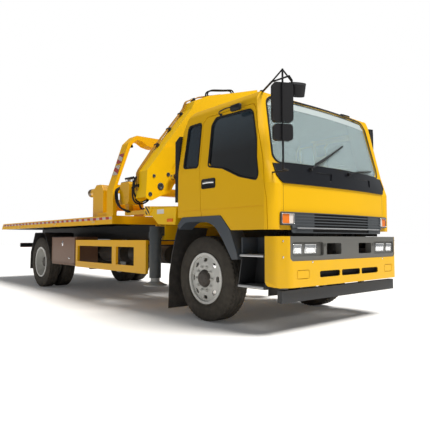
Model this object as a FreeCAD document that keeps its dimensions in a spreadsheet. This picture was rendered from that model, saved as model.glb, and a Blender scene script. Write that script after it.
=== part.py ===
"""Flatbed tow truck with a knuckle boom crane, in millimetres, +X forward, +Y left, +Z up.

The pieces are laid out from the ground point under the front axle. The nodes are then moved forward
by origin_to_front_axle, so that the origin is on the ground in the middle of the truck's length.
"""
import FreeCAD, Part
import math
import os
import re

import Sketcher

Vector = FreeCAD.Vector
document = FreeCAD.newDocument("FlatbedTowTruck")
sheet = document.addObject("Spreadsheet::Sheet", "Sizes")
NODES = []
ACROSS = Vector(0, 1, 0)


# Driving dimensions
SIZES = {
    "origin_to_front_axle": 3173,
    "wheelbase": 5280,
    # Wheels
    "tyre_radius": 510,
    "tyre_width": 265,
    "twin_tyre_width": 245,
    "rim_radius": 286,
    "rim_edge": 20,
    "rim_wall": 10,
    "front_track_half": 992,
    "twin_inner_y": 747,
    "twin_outer_y": 1067,
    "kingpin_y": 800,
    "kingpin_radius": 22,
    "spindle_radius": 40,
    "running_gap": 0.3,
    "seat_gap": 0.3,
    # Chassis rails
    "rail_half": 425,
    "rail_top": 970,
    "rail_depth": 250,
    "rail_flange": 75,
    "rail_wall": 8,
    "rail_front": 1090,
    "rail_rear": -6800,
    # Bumper
    "bumper_front": 1296,
    "bumper_half": 1193,
    "bumper_top": 1010,
    "bumper_bottom": 490,
    "bumper_shelf": 757,
    "bumper_wall": 45,
    "insert_half": 1035,
    "insert_depth": 90,
    # Cab
    "cab_half": 1200,
    "cab_floor": 1250,
    "cab_sill": 1080,
    "cab_roof": 2650,
    "cab_rear": -430,
    "cab_wall": 50,
    "cab_floor_wall": 45,
    "cab_front": 1188,
    "cab_pivot_x": 1030,
    "cab_pivot_z": 1110,
    "cab_pin_radius": 18,
    "door_gap": 6,
    "glass_wall": 6,
    "glass_depth": 14,
    # Bed
    "bed_half": 1250,
    "bed_front": -2070,
    "bed_rear": -7790,
    "bed_bottom": 1215,
    "bed_top": 1345,
    "deck_top": 1310,
    "deck_plate": 3,
    "tilt_pivot_x": -6750,
    "tilt_pivot_z": 900,
    "tilt_pin_radius": 30,
    "tilt_beam_bottom": 975,
    "tilt_beam_top": 1085,
    "slide_gap": 0.3,
    # Hoop at the head of the bed
    "hoop_front": -2055,
    "hoop_depth": 205,
    "hoop_top": 2640,
    "hoop_knee": 1740,
    # Crane
    "crane_x": -1230,
    "boom_width": 250,
    "inner_height": 240,
    "head_y": 250,
    "head_z": 2720,
    "knuckle_y": -1030,
    "knuckle_z": 1720,
    "base_top": 1440,
    "base_bottom": 1165,
    "outrigger_x": -1020,
    "outrigger_y": 1150,
    "outrigger_leg": 80,
    "leg_foot": 350,
    "boom_gap": 8,
}


def fill_sheet():
    """One row for each driving dimension: its value in column A, its name as the alias."""
    for row, (name, value) in enumerate(SIZES.items(), start=1):
        sheet.set(f"A{row}", str(value))
        sheet.setAlias(f"A{row}", name)
    document.recompute()


fill_sheet()
WORD = re.compile("(?<![A-Za-z_.])(" + "|".join(sorted(SIZES, key=len, reverse=True)) + ")(?![A-Za-z_])")


def cells(text):
    """The expression with each name pointed at its cell."""
    return WORD.sub(r"Sizes.\1", str(text))


def number(text):
    """The value of an expression of named sizes, in millimetres."""
    return float(sheet.evalExpression(cells(text)))


def bind(thing, prop, text):
    """Bind a property to an expression of named sizes."""
    thing.setExpression(prop, cells(text))


def box(name, x, y, z):
    """A block between two expressions along each axis."""
    block = document.addObject("Part::Box", name)
    for size, axis, (low, high) in (("Length", "x", x), ("Width", "y", y), ("Height", "z", z)):
        bind(block, size, f"({high}) - ({low})")
        bind(block, f"Placement.Base.{axis}", low)
    return block


TURNS = {"x": FreeCAD.Rotation(ACROSS, 90), "y": FreeCAD.Rotation(Vector(1, 0, 0), -90), "z": FreeCAD.Rotation()}


def rod(name, axis, centre, radius, span):
    """A round bar along an axis; centre gives the other two places in the order x, y, z."""
    bar = document.addObject("Part::Cylinder", name)
    bar.Placement = FreeCAD.Placement(Vector(), TURNS[axis])
    bind(bar, "Radius", radius)
    bind(bar, "Height", f"({span[1]}) - ({span[0]})")
    places = dict(zip([a for a in "xyz" if a != axis], centre))
    places[axis] = span[0]
    for letter, text in places.items():
        bind(bar, f"Placement.Base.{letter}", text)
    return bar


def cone(name, axis, centre, radii, span):
    """A round taper along an axis, with its first and last radius."""
    bar = document.addObject("Part::Cone", name)
    bar.Placement = FreeCAD.Placement(Vector(), TURNS[axis])
    bind(bar, "Radius1", radii[0])
    bind(bar, "Radius2", radii[1])
    bind(bar, "Height", f"({span[1]}) - ({span[0]})")
    places = dict(zip([a for a in "xyz" if a != axis], centre))
    places[axis] = span[0]
    for letter, text in places.items():
        bind(bar, f"Placement.Base.{letter}", text)
    return bar


PLANES = {"xy": ("XY_Plane", 1), "xz": ("XZ_Plane", -1), "yz": ("YZ_Plane", 1)}


def sketch_outline(body, name, plane, outline):
    """A closed sketch of straight sides whose corners are bound to expressions."""
    role, _ = PLANES[plane]
    sketch = body.newObject("Sketcher::SketchObject", name)
    sketch.AttachmentSupport = (next(o for o in body.Origin.OriginFeatures if o.Role == role), [""])
    sketch.MapMode = "FlatFace"
    corners = [Vector(number(a), number(b), 0) for a, b in outline]
    count = len(corners)
    for i in range(count):
        sketch.addGeometry(Part.LineSegment(corners[i], corners[(i + 1) % count]), False)
    for i in range(count):
        sketch.addConstraint(Sketcher.Constraint("Coincident", i, 2, (i + 1) % count, 1))
    for i, texts in enumerate(outline):
        for kind, value, text in zip(("DistanceX", "DistanceY"), corners[i], texts):
            at = sketch.addConstraint(Sketcher.Constraint(kind, -1, 1, i, 1, value))
            bind(sketch, f"Constraints[{at}]", text)
    return sketch, corners


def prism(name, plane, outline, span, rounds=None):
    """A padded outline between two expressions along the plane's normal; rounds gives corners a radius."""
    body = document.addObject("PartDesign::Body", name)
    sketch, corners = sketch_outline(body, name + "Sketch", plane, outline)
    _, sign = PLANES[plane]
    bind(sketch, "AttachmentOffset.Base.z", span[0] if sign > 0 else f"-({span[1]})")
    pad = body.newObject("PartDesign::Pad", name + "Pad")
    pad.Profile = sketch
    bind(pad, "Length", f"({span[1]}) - ({span[0]})")
    if rounds:
        document.recompute()
        for radius in sorted(set(rounds.values())):
            wanted = [corners[i] for i, r in rounds.items() if r == radius]
            round_edges(body, f"{name}Round{radius}", plane, wanted, radius)
    return body


def round_edges(body, name, plane, wanted, radius):
    """Round the edges that run along the plane's normal through the wanted corners."""
    first, second = {"xy": ("x", "y"), "xz": ("x", "z"), "yz": ("y", "z")}[plane]
    tip = body.Tip
    edges = []
    for i, edge in enumerate(tip.Shape.Edges, start=1):
        ends = [v.Point for v in edge.Vertexes]
        if len(ends) != 2:
            continue
        for corner in wanted:
            off = [math.hypot(getattr(p, first) - corner.x, getattr(p, second) - corner.y) for p in ends]
            if max(off) < 0.01:
                edges.append(f"Edge{i}")
    fillet = body.newObject("PartDesign::Fillet", name)
    fillet.Base = (tip, edges)
    fillet.Radius = radius
    document.recompute()


def turned(name, outline, centre, side="y"):
    """A solid of revolution: the outline gives places along the axis and radii about it."""
    body = document.addObject("PartDesign::Body", name)
    plane = {"y": "yz", "x": "xz"}[side]
    sketch, _ = sketch_outline(body, name + "Sketch", plane, outline)
    revolution = body.newObject("PartDesign::Revolution", name + "Turn")
    revolution.Profile = sketch
    revolution.ReferenceAxis = (sketch, ["H_Axis"])
    revolution.Angle = 360
    for letter, text in zip("xyz", centre):
        bind(body, f"Placement.Base.{letter}", text)
    return body


def fuse(name, parts):
    """The parts as one solid."""
    joined = document.addObject("Part::MultiFuse", name)
    joined.Shapes = parts
    joined.Refine = True
    return joined


def cut(name, base, tools):
    """The base without the tools."""
    tool = tools[0] if len(tools) == 1 else fuse(name + "Tools", tools)
    less = document.addObject("Part::Cut", name)
    less.Base = base
    less.Tool = tool
    less.Refine = True
    return less


def common(name, parts):
    """What the parts share."""
    shared = document.addObject("Part::MultiCommon", name)
    shared.Shapes = parts
    return shared


def mirror(name, source, normal=ACROSS):
    """A copy on the other side of the truck."""
    copy = document.addObject("Part::Mirroring", name)
    copy.Source = source
    copy.Normal = normal
    return copy


def pair(name, source):
    """A piece and its copy on the other side."""
    both = document.addObject("Part::Compound", name)
    both.Links = [source, mirror(name + "Mirror", source)]
    return both


def node(label, parts):
    """A sub-part that is written as a file of its own, moved to the truck's origin."""
    whole = document.addObject("Part::Compound", label)
    whole.Label = label
    whole.Links = parts
    bind(whole, "Placement.Base.x", "origin_to_front_axle")
    NODES.append(whole)
    return whole


# Chassis: rails, cross members, axles and what hangs from them


def make_rails():
    """Two channel rails that open inwards, tied by cross members."""
    outer = box("RailBlock", ("rail_rear", "rail_front"), ("rail_half - rail_flange", "rail_half"),
                ("rail_top - rail_depth", "rail_top"))
    inner = box("RailHollow", ("rail_rear - 1", "rail_front + 1"),
                ("rail_half - rail_flange - 1", "rail_half - rail_wall"),
                ("rail_top - rail_depth + rail_wall", "rail_top - rail_wall"))
    rail = cut("Rail", outer, [inner])
    ties = [box(f"CrossMember{i}", (f"{x} - 35", f"{x} + 35"), ("-rail_half + rail_wall", "rail_half - rail_wall"),
                ("rail_top - 120", "rail_top - 20"))
            for i, x in enumerate(("rail_front - 60", -1500, -2450, -3250, -4800, -5850, "tilt_pivot_x + 190"))]
    lug = cut("TiltLug", box("TiltLugBlock", ("tilt_pivot_x - 50", "tilt_pivot_x + 170"), (230, 280),
                             ("tilt_pivot_z - 60", "tilt_pivot_z + 50")),
              [rod("TiltLugBore", "y", ("tilt_pivot_x", "tilt_pivot_z"), "tilt_pin_radius", (220, 290))])
    pin = rod("TiltPin", "y", ("tilt_pivot_x", "tilt_pivot_z"), "tilt_pin_radius", (230, 345))
    ear = box("CabBracket", ("cab_pivot_x - 45", "cab_pivot_x + 45"), (360, 410), ("rail_top", "cab_pivot_z + 35"))
    cab_pin = rod("CabPin", "y", ("cab_pivot_x", "cab_pivot_z"), "cab_pin_radius", (370, 470))
    ram_pin = rod("TiltRamPin", "y", (-4600, 800), 24.7, (206, 294))
    ear_outline = [(-4800, 765), (-4600, 752), (-4560, 765), (-4552, 800), (-4560, 835), (-4600, 848), (-4800, 900)]
    ram_ears = [prism(f"TiltRamEar{i}", "xz", ear_outline, span) for i, span in enumerate(((205, 214.7), (285.3, 295)))]
    side = fuse("RailSide", [rail, ear, cab_pin, lug, pin, ram_pin] + ram_ears)
    frame = fuse("FrameRails", [side, mirror("RailSideLeft", side)] + ties)
    node("frame_rails", [frame])


def make_engine():
    """The engine, gearbox and radiator as plain blocks at their places between the rails."""
    engine = box("Engine", (-450, 640), (-300, 300), (640, 1170))
    mounts = pair("EngineMounts", box("EngineMount", (250, 350), (300, "rail_half - rail_wall"), (780, 830)))
    gearbox = cone("Gearbox", "x", (0, 790), (110, 190), (-1250, -450))
    radiator = box("Radiator", (740, 840), (-330, 330), (700, 1190))
    feet = box("RadiatorFoot", (770, 810), ("-rail_half + rail_wall", "rail_half - rail_wall"), (760, 800))
    whole = fuse("EngineWhole", [engine, mounts, gearbox, fuse("RadiatorWhole", [radiator, feet]),
                                 box("FanShroud", (640, 740), (-220, 220), (800, 1100))])
    node("engine_block", [whole])


def leaf_spring(name, middle, reach, low, y):
    """A pack of leaves under a rail: high at its eyes and low at the axle."""
    centre, top = f"({middle})", "rail_top - rail_depth"
    outline = [(f"{centre} - {reach}", f"{top} - 90"), (f"{centre} - {reach}/2", f"{low} + 25"), (f"{centre} - 90", low),
               (f"{centre} + 90", low), (f"{centre} + {reach}/2", f"{low} + 25"), (f"{centre} + {reach}", f"{top} - 90"),
               (f"{centre} + {reach}", f"{top} - 60"), (f"{centre} + {reach}/2", f"{low} + 65"),
               (f"{centre} + 90", f"{low} + 75"), (f"{centre} - 90", f"{low} + 75"),
               (f"{centre} - {reach}/2", f"{low} + 65"), (f"{centre} - {reach}", f"{top} - 60")]
    leaves = prism(name + "Leaves", "xz", outline, (y, f"{y} + 70"))
    hangers = [box(f"{name}Hanger{i}", (f"{centre} + {side}*{reach} - 40", f"{centre} + {side}*{reach} + 40"),
                   (f"{y} + 5", f"{y} + 65"), (f"{top} - 110", top)) for i, side in enumerate((-1, 1))]
    return fuse(name, [leaves] + hangers)


def make_front_axle():
    """The dropped beam with an eye for each kingpin, and its leaf springs."""
    low, high = "tyre_radius - 105", "tyre_radius - 15"
    outline = [(0, low), ("kingpin_y - 190", low), ("kingpin_y - 70", "tyre_radius - 55"),
               ("kingpin_y", "tyre_radius - 55"), ("kingpin_y", "tyre_radius + 55"),
               ("kingpin_y - 70", "tyre_radius + 55"), ("kingpin_y - 190", high), (0, high)]
    half = prism("BeamHalf", "yz", outline, (-45, 45))
    eye = rod("BeamEye", "z", (0, "kingpin_y"), "kingpin_radius + 28", ("tyre_radius - 55", "tyre_radius + 55"))
    bore = rod("BeamBore", "z", (0, "kingpin_y"), "kingpin_radius + running_gap", (0, "2*tyre_radius"))
    seat = box("BeamSeat", (-90, 90), ("rail_half - 72", "rail_half - 3"), (high, "tyre_radius + 10"))
    spring = leaf_spring("FrontSpring", 0, 620, "tyre_radius + 10", "rail_half - 72")
    side = cut("FrontAxleSide", fuse("FrontAxleFused", [half, eye, seat, spring]), [bore])
    node("front_axle", [fuse("FrontAxle", [side, mirror("FrontAxleLeft", side)])])


def make_rear_axle():
    """The banjo housing, its springs and the propeller shaft."""
    middle, height = "-wheelbase", "tyre_radius"
    tube = rod("AxleTube", "y", (middle, height), 85, (0, "twin_inner_y - 170"))
    spindle = rod("AxleSpindle", "y", (middle, height), "spindle_radius + 15", ("twin_inner_y - 170", "twin_outer_y + 20"))
    spring = leaf_spring("RearSpring", middle, 780, "tyre_radius + 95", "rail_half - 72")
    pad = box("SpringPad", (f"{middle} - 90", f"{middle} + 90"), ("rail_half - 72", "rail_half - 2"),
              (height, f"{height} + 95"))
    side = fuse("RearAxleSide", [tube, spindle, spring, pad])
    banjo = turned("Banjo", [(-150, 0), (-150, 110), (-75, 200), (75, 200), (150, 110), (150, 0)], (middle, 0, height))
    nose = cone("PinionNose", "x", (0, f"{height} + 20"), (130, 60), (f"{middle} + 120", f"{middle} + 330"))
    shaft = document.addObject("Part::Cylinder", "PropellerShaft")
    shaft.Radius = 42
    run, drop = "(wheelbase - 330 - 1262)", "(790 - tyre_radius - 20)"
    tilt = math.degrees(math.atan2(number(drop), number(run)))
    shaft.Placement = FreeCAD.Placement(Vector(), FreeCAD.Rotation(ACROSS, 90 - tilt))
    bind(shaft, "Height", f"sqrt({run}^2 + {drop}^2)")
    bind(shaft, "Placement.Base.x", "-wheelbase + 330")
    bind(shaft, "Placement.Base.z", f"{height} + 20")
    node("rear_axle", [fuse("RearAxle", [side, mirror("RearAxleLeft", side), banjo, nose, shaft])])


def make_tanks():
    """Fuel tank, air tanks, battery box and silencer, each strapped to a rail."""
    fuel = prism("FuelTank", "xz", [(-3300, 560), (-2350, 560), (-2350, 960), (-3300, 960)], (470, 1050),
                 {i: 60 for i in range(4)})
    straps = [box(f"FuelStrap{i}", (x, x + 50), ("rail_half", 480), (600, 900)) for i, x in enumerate((-3150, -2550))]
    battery = box("BatteryBox", (-1900, -1400), (480, 950), (620, 960))
    battery_arm = box("BatteryArm", (-1700, -1600), ("rail_half", 480), (750, 900))
    air = rod("AirTank", "x", (-600, 740), 130, (-2500, -1420))
    air_arms = [box(f"AirArm{i}", (x, x + 50), (-600, "-rail_half"), (780, 900)) for i, x in enumerate((-2300, -1700))]
    silencer = rod("Silencer", "x", (-650, 740), 150, (-3400, -2650))
    silencer_arm = box("SilencerArm", (-3050, -3000), (-640, "-rail_half"), (800, 900))
    node("side_tanks", [fuse("FuelWhole", [fuel] + straps), fuse("BatteryWhole", [battery, battery_arm]),
                        fuse("AirWhole", [air] + air_arms), fuse("SilencerWhole", [silencer, silencer_arm])])


# Front: bumper, lamps, steps


def bumper_plan(inset):
    """The bumper's bow in plan, right half mirrored, moved back by an inset."""
    right = [(f"bumper_front - {inset} - 130", f"bumper_half - {inset}"), (f"bumper_front - {inset} - 26", f"insert_half - {inset}*0.6"),
             (f"bumper_front - {inset} - 6", "insert_half/2")]
    return right + [(x, f"-({y})") for x, y in reversed(right)]


def make_bumper():
    """The yellow bow with its low face, and the shelf that carries the lamp panel."""
    rear = "bumper_front - 235"
    outline = [(rear, "bumper_half")] + bumper_plan(0) + [(rear, "-bumper_half")]
    bow = prism("BumperBow", "xy", outline, ("bumper_bottom", "bumper_top"), {1: 110, 6: 110, 2: 150, 5: 150})
    face = prism("BumperFace", "yz", [("-bumper_half - 5", "bumper_bottom - 5"), ("bumper_half + 5", "bumper_bottom - 5"),
                                      ("bumper_half + 5", "bumper_top + 5"), ("-bumper_half - 5", "bumper_top + 5")],
                 ("bumper_front - 400", "bumper_front + 20"), {0: 95, 1: 95})
    hollow = [("bumper_front - 400", "bumper_half - bumper_wall")] + bumper_plan("bumper_wall")
    hollow += [("bumper_front - 400", "-(bumper_half - bumper_wall)")]
    inner = prism("BumperHollow", "xy", hollow, ("bumper_bottom - 1", "bumper_top + 1"), {1: 70, 6: 70, 2: 100, 5: 100})
    window = prism("BumperWindow", "yz", [("-insert_half", "bumper_shelf"), ("insert_half", "bumper_shelf"), ("insert_half", "bumper_top + 20"),
                                          ("-insert_half", "bumper_top + 20")], ("bumper_front - 400", "bumper_front + 10"), {0: 45, 1: 45})
    slots = [prism(f"BumperSlot{i}", "yz", [(y - 182, 575), (y + 182, 575), (y + 182, 643), (y - 182, 643)],
                   ("bumper_front - 80", "bumper_front + 10"), {k: 20 for k in range(4)}) for i, y in enumerate((-400, 0, 400))]
    cover = [(752, 573), (943, 573), (943, 664), (752, 664)]
    groove = cut("TowCoverGroove", prism("TowCoverOutside", "yz", cover, ("bumper_front - 36", "bumper_front + 10"), {k: 18 for k in range(4)}),
                 [prism("TowCoverInside", "yz", grown(cover, (850, 620), "-6"), ("bumper_front - 40", "bumper_front + 20"), {k: 13 for k in range(4)})])
    arms = pair("BumperArms", box("BumperArm", ("rail_front", "bumper_front - bumper_wall - 6 - seat_gap"), ("rail_half - 60", "rail_half"), (740, "bumper_shelf - 1")))
    shell = common("BumperRound", [cut("BumperShell", bow, [inner, window, pair("TowCovers", groove)] + slots), face])
    node("front_bumper", [shell, arms])


def make_insert():
    """The grey panel above the bumper's shelf, with the holes that the lamps sit in."""
    edge = "insert_half - 4"
    panel = prism("InsertPanel", "xy", [("bumper_front - insert_depth", edge), ("bumper_front - 34", edge), ("bumper_front - 14", "insert_half/2"),
                                        ("bumper_front - 14", "-insert_half/2"), ("bumper_front - 34", f"-({edge})"),
                                        ("bumper_front - insert_depth", f"-({edge})")], ("bumper_shelf", "bumper_top"))
    face = prism("InsertFace", "yz", [(f"-({edge})", "bumper_shelf"), (edge, "bumper_shelf"), (edge, "bumper_top + 20"), (f"-({edge})", "bumper_top + 20")],
                 ("bumper_front - 120", "bumper_front"), {0: 42, 1: 42})
    recess = pair("LampRecess", prism("LampRecessLeft", "yz", [(505, 803), (1003, 803), (1003, 952), (505, 952)],
                                      ("bumper_front - 46", "bumper_front + 10"), {k: 28 for k in range(4)}))
    rooms = [pair(f"LampRoom{i}", box(f"LampRoomLeft{i}", ("bumper_front - 84", "bumper_front"), y, (832, 928)))
             for i, y in enumerate(LAMPS_Y)]
    holes = [prism(f"InsertHole{i}", "yz", [(low, 812), (high, 812), (high, 938), (low, 938)], ("bumper_front - 120", "bumper_front + 10"),
                   {k: 18 for k in range(4)}) for i, (low, high) in enumerate(((-450, -175), (175, 450)))]
    slits = [pair(f"InsertSlit{i}", box(f"InsertSlitLeft{i}", ("bumper_front - 60", "bumper_front"), (y, y + 10), (900, 935)))
             for i, y in enumerate((464, 484))]
    node("bumper_insert", [cut("Insert", common("InsertRound", [panel, face]), [recess] + rooms + holes + slits)])
    lamps = [pair(f"Headlamp{i}", box(f"HeadlampLens{i}", ("bumper_front - 84 + seat_gap", "bumper_front - 42"), (f"{low} + seat_gap", f"{high} - seat_gap"),
                                      ("832 + seat_gap", "928 - seat_gap"))) for i, (low, high) in enumerate(LAMPS_Y)]
    node("headlamps", lamps)


LAMPS_Y = [(600, 792), (843, 975)]


def make_steps():
    """The black under-run bar, the cab steps behind the bumper and the battery side rails."""
    bar = box("UnderrunBar", ("bumper_front - 150", "bumper_front - 90"), (-1100, 1100), (335, 460))
    stays = pair("UnderrunStays", box("UnderrunStay", ("bumper_front - 145", "bumper_front - 95"), (350, 410), (455, 735)))
    arms = pair("UnderrunArms", box("UnderrunArm", ("rail_front", "bumper_front - 95"), (350, 410), (725, 739)))
    side = prism("StepSide", "xz", [(700, 1000), (1050, 1000), (1050, 490), (640, 470), (640, 520), (700, 800)], (900, 930))
    treads = [box("StepUpper", (680, 1050), (925, 1185), (795, 818)), box("StepLower", (640, 1055), (925, 1185), (465, 492))]
    ends = [box("StepFrontEnd", (1040, 1052), (925, 1170), (480, 1000)),
            prism("StepRearEnd", "xz", [(640, 470), (652, 470), (712, 800), (712, 1000), (700, 1000), (700, 800)], (925, 1170))]
    arm = box("StepArm", (930, 990), ("rail_half", 905), (800, 860))
    step = fuse("CabStep", [side, arm] + treads + ends)
    node("cab_steps", [fuse("Underrun", [bar, stays, arms]), pair("CabSteps", step)])


def make_mudguards():
    """Rear wings with flaps, and the fixed rear half of the front arches with their flaps."""
    rear = "-wheelbase"
    outer = [(f"{rear} - 590", 345), (f"{rear} - 570", 700), (f"{rear} - 320", 1115), (f"{rear} + 230", 1115), (f"{rear} + 500", 760)]
    inner = [(f"{rear} + 488", 752), (f"{rear} + 224", 1101), (f"{rear} - 312", 1101), (f"{rear} - 558", 696), (f"{rear} - 578", 345)]
    wing = prism("RearWing", "xz", outer + inner, (610, 1190))
    post = box("WingPost", (f"{rear} + 150", f"{rear} + 200"), ("rail_half", 600), (930, 970))
    riser = box("WingRiser", (f"{rear} + 150", f"{rear} + 200"), (560, 600), (960, 1090))
    shelf = box("WingShelf", (f"{rear} + 150", f"{rear} + 200"), (560, 640), (1070, 1105))
    front_outer = [(-650, 90), (-634, 522), (-575, 790), (-484, 1056), (-446, 1130)]
    front_inner = [(-436, 1120), (-470, 1050), (-561, 786), (-622, 522), (-640, 90)]
    liner = prism("FrontLiner", "xz", front_outer + front_inner, (700, 1190))
    liner_arm = box("LinerArm", (-640, -590), ("rail_half", 720), (700, 740))
    node("mudguards", [pair("RearWings", fuse("RearWingWhole", [wing, post, riser, shelf])),
                       pair("FrontLiners", fuse("FrontLinerWhole", [liner, liner_arm]))])


def make_side_guards():
    """The yellow side rails, and the tool boxes behind them."""
    plate = box("GuardPlate", (-3530, -1200), (1150, 1190), (495, 965))
    windows = [box("GuardWindowRear", (-3450, -2188), (1140, 1200), (594, 864)),
               box("GuardWindowFront", (-2060, -1525), (1140, 1200), (594, 864))]
    arms = [box(f"GuardArm{i}", (x, x + 60), ("rail_half", 1160), (900, 950)) for i, x in enumerate((-3500, -2150, -1340))]
    guard = fuse("GuardWhole", [cut("Guard", plate, windows)] + arms)
    node("side_guards", [pair("SideGuards", guard)])
    shell = cut("ToolboxShell", box("ToolboxBlock", (-4665, -3540), (760, 1172), (503, 1020)),
                [box("ToolboxRoom", (-4640, -3565), (785, 1180), (540, 995))])
    arm = box("ToolboxArm", (-4200, -4100), ("rail_half", 770), (880, 940))
    pin = rod("ToolboxPin", "x", (1184, 527), 6, (-4600, -3600))
    ears = [box(f"ToolboxEar{i}", x, (1170, 1192), (518, 536)) for i, x in enumerate(((-4602, -4562), (-3642, -3602)))]
    node("toolboxes", [pair("Toolboxes", fuse("ToolboxWhole", [shell, arm, pin] + ears))])
    barrel = rod("ToolboxBarrel", "x", (1184, 527), 10, (-4561.7, -3642.3))
    lid = fuse("ToolboxLidFused", [box("ToolboxLid", (-4645, -3560), (1174.3, 1190), (545, 1008)),
                                   box("ToolboxLidNeck", (-4550, -3650), (1180, 1188), (530, 548)), barrel])
    lid = cut("ToolboxLidWhole", lid, [rod("ToolboxBarrelBore", "x", (1184, 527), 6.3, (-4600, -3600))])
    node("toolbox_lid_left", [lid])
    node("toolbox_lid_right", [mirror("ToolboxLidRight", lid)])


def make_tail_lamps():
    """The lamp bar across the rear of the rails."""
    bar = box("TailBar", ("rail_rear - 60", "rail_rear"), (-1100, 1100), (800, 880))
    lamps = pair("TailLamps", box("TailLamp", ("rail_rear - 95", "rail_rear - 60"), (720, 1080), (790, 890)))
    node("tail_lamps", [bar, lamps])


# Cab


def cab_profile(inset):
    """The cab's outline from the side, moved inwards by an inset; its front is open to the bowed plan."""
    return [(f"cab_rear + {inset}", "cab_sill - 100"), (f"cab_rear + {inset}", 1400),
            (f"cab_rear + 20 + {inset}", 2350), (f"cab_rear + 150 + {inset}", f"cab_roof - 40 - {inset}"),
            (300, f"cab_roof - {inset}"), (740, f"cab_roof - 15 - {inset}"), (1400, f"cab_roof - 235 - {inset}"),
            (1400, "cab_sill - 100")]


def cab_section(inset):
    """The cab's outline from the front: upright to the window sill, then leaning in to the roof."""
    right = [(f"cab_half - {inset}", "cab_sill - 200"), (f"cab_half - {inset}", 1840),
             (f"cab_half - 95 - {inset}", f"cab_roof - 130 - {inset}/2"),
             (f"cab_half - 180 - {inset}", f"cab_roof - 35 - {inset}"), ("cab_half/2", f"cab_roof - {inset}")]
    return right + [(f"-({y})", z) for y, z in reversed(right)]


# Height, end of the flat side, corner's end along X and Y, and the middle of the bowed front
CAB_LEVELS = [("cab_sill - 200", "cab_front - 138", "cab_front - 58", 1020, "cab_front"),
              (1560, "cab_front - 138", "cab_front - 58", 1020, "cab_front"),
              (1800, "cab_front - 223", "cab_front - 143", 1050, "cab_front - 26"),
              ("cab_roof + 100", "cab_front - 438", "cab_front - 358", 945, "cab_front - 304")]


def cab_level(level, inset):
    """The cab's outline from above at one height: flat sides, round corners and a bowed front."""
    height, side_x, corner_x, corner_y, front = [number(text) for text in level]
    rear, side_y = number("cab_rear - 100"), number("cab_half + 5") - inset
    side = Vector(side_x - inset / 2, side_y, height)
    end = Vector(corner_x - 0.9 * inset, corner_y - inset / 2, height)
    knee = Vector(end.x - 10, side_y, height)
    middle = side * 0.25 + knee * 0.5 + end * 0.25
    left = [Vector(rear, side_y, height), side, middle, end]
    right = [Vector(p.x, -p.y, height) for p in left]
    nose = Vector(front - inset, 0, height)
    edges = [Part.LineSegment(right[0], left[0]), Part.LineSegment(left[0], left[1]), Part.Arc(left[1], left[2], left[3]),
             Part.Arc(left[3], nose, right[3]), Part.Arc(right[3], right[2], right[1]), Part.LineSegment(right[1], right[0])]
    return Part.Wire([edge.toShape() for edge in edges])


def cab_form(name, inset):
    """The cab's whole outer form, shrunk by an inset: what its side, its front and its plan share."""
    inset = f"({inset})"
    side = prism(name + "Side", "xz", cab_profile(inset), ("-cab_half - 50", "cab_half + 50"), {2: 60, 3: 90, 5: 150})
    front = prism(name + "Front", "yz", cab_section(inset), ("cab_rear - 90", 1300),
                  {1: 400, 8: 400, 2: 90, 7: 90, 3: 150, 6: 150})
    plan = document.addObject("Part::Feature", name + "Plan")
    plan.Shape = Part.makeLoft([cab_level(level, number(inset)) for level in CAB_LEVELS], True, True)
    return common(name, [side, front, plan])


DOOR = [(100, "cab_sill"), (1085, "cab_sill"), (1078, 1400), (1048, 1640), (1008, 1835), (935, 2150), (870, 2400),
        (835, 2447), (55, 2452), (-5, 2395), (30, 1330)]
DOOR_WINDOW = [(178, 1838), (430, 1790), (700, 1670), (950, 1610), (972, 1660), (925, 2040), (838, 2345), (790, 2388),
               (230, 2405), (168, 2330)]
DOOR_WINDOW_ROUNDS = {0: 60, 3: 25, 6: 40, 9: 50}
QUARTER = [(-312, 1871), (-32, 1850), (-52, 2398), (-292, 2395)]
SCREEN = [(-1035, 1800), (1035, 1800), (960, 2550), (-960, 2550)]
SCREEN_SEAL = [(-1057, 1780), (1057, 1780), (982, 2570), (-982, 2570)]


def side_prism(name, outline, low, high, rounds=None):
    """An outline seen from the side, cut through the left wall."""
    return prism(name, "xz", outline, (low, high), rounds)


def grown(outline, centre, gap):
    """An outline moved out from its middle by a gap along X and Z."""
    moved = []
    for x, z in outline:
        sx = "+" if number(x) > centre[0] else "-"
        sz = "+" if number(z) > centre[1] else "-"
        moved.append((f"({x}) {sx} {gap}", f"({z}) {sz} {gap}"))
    return moved


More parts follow.
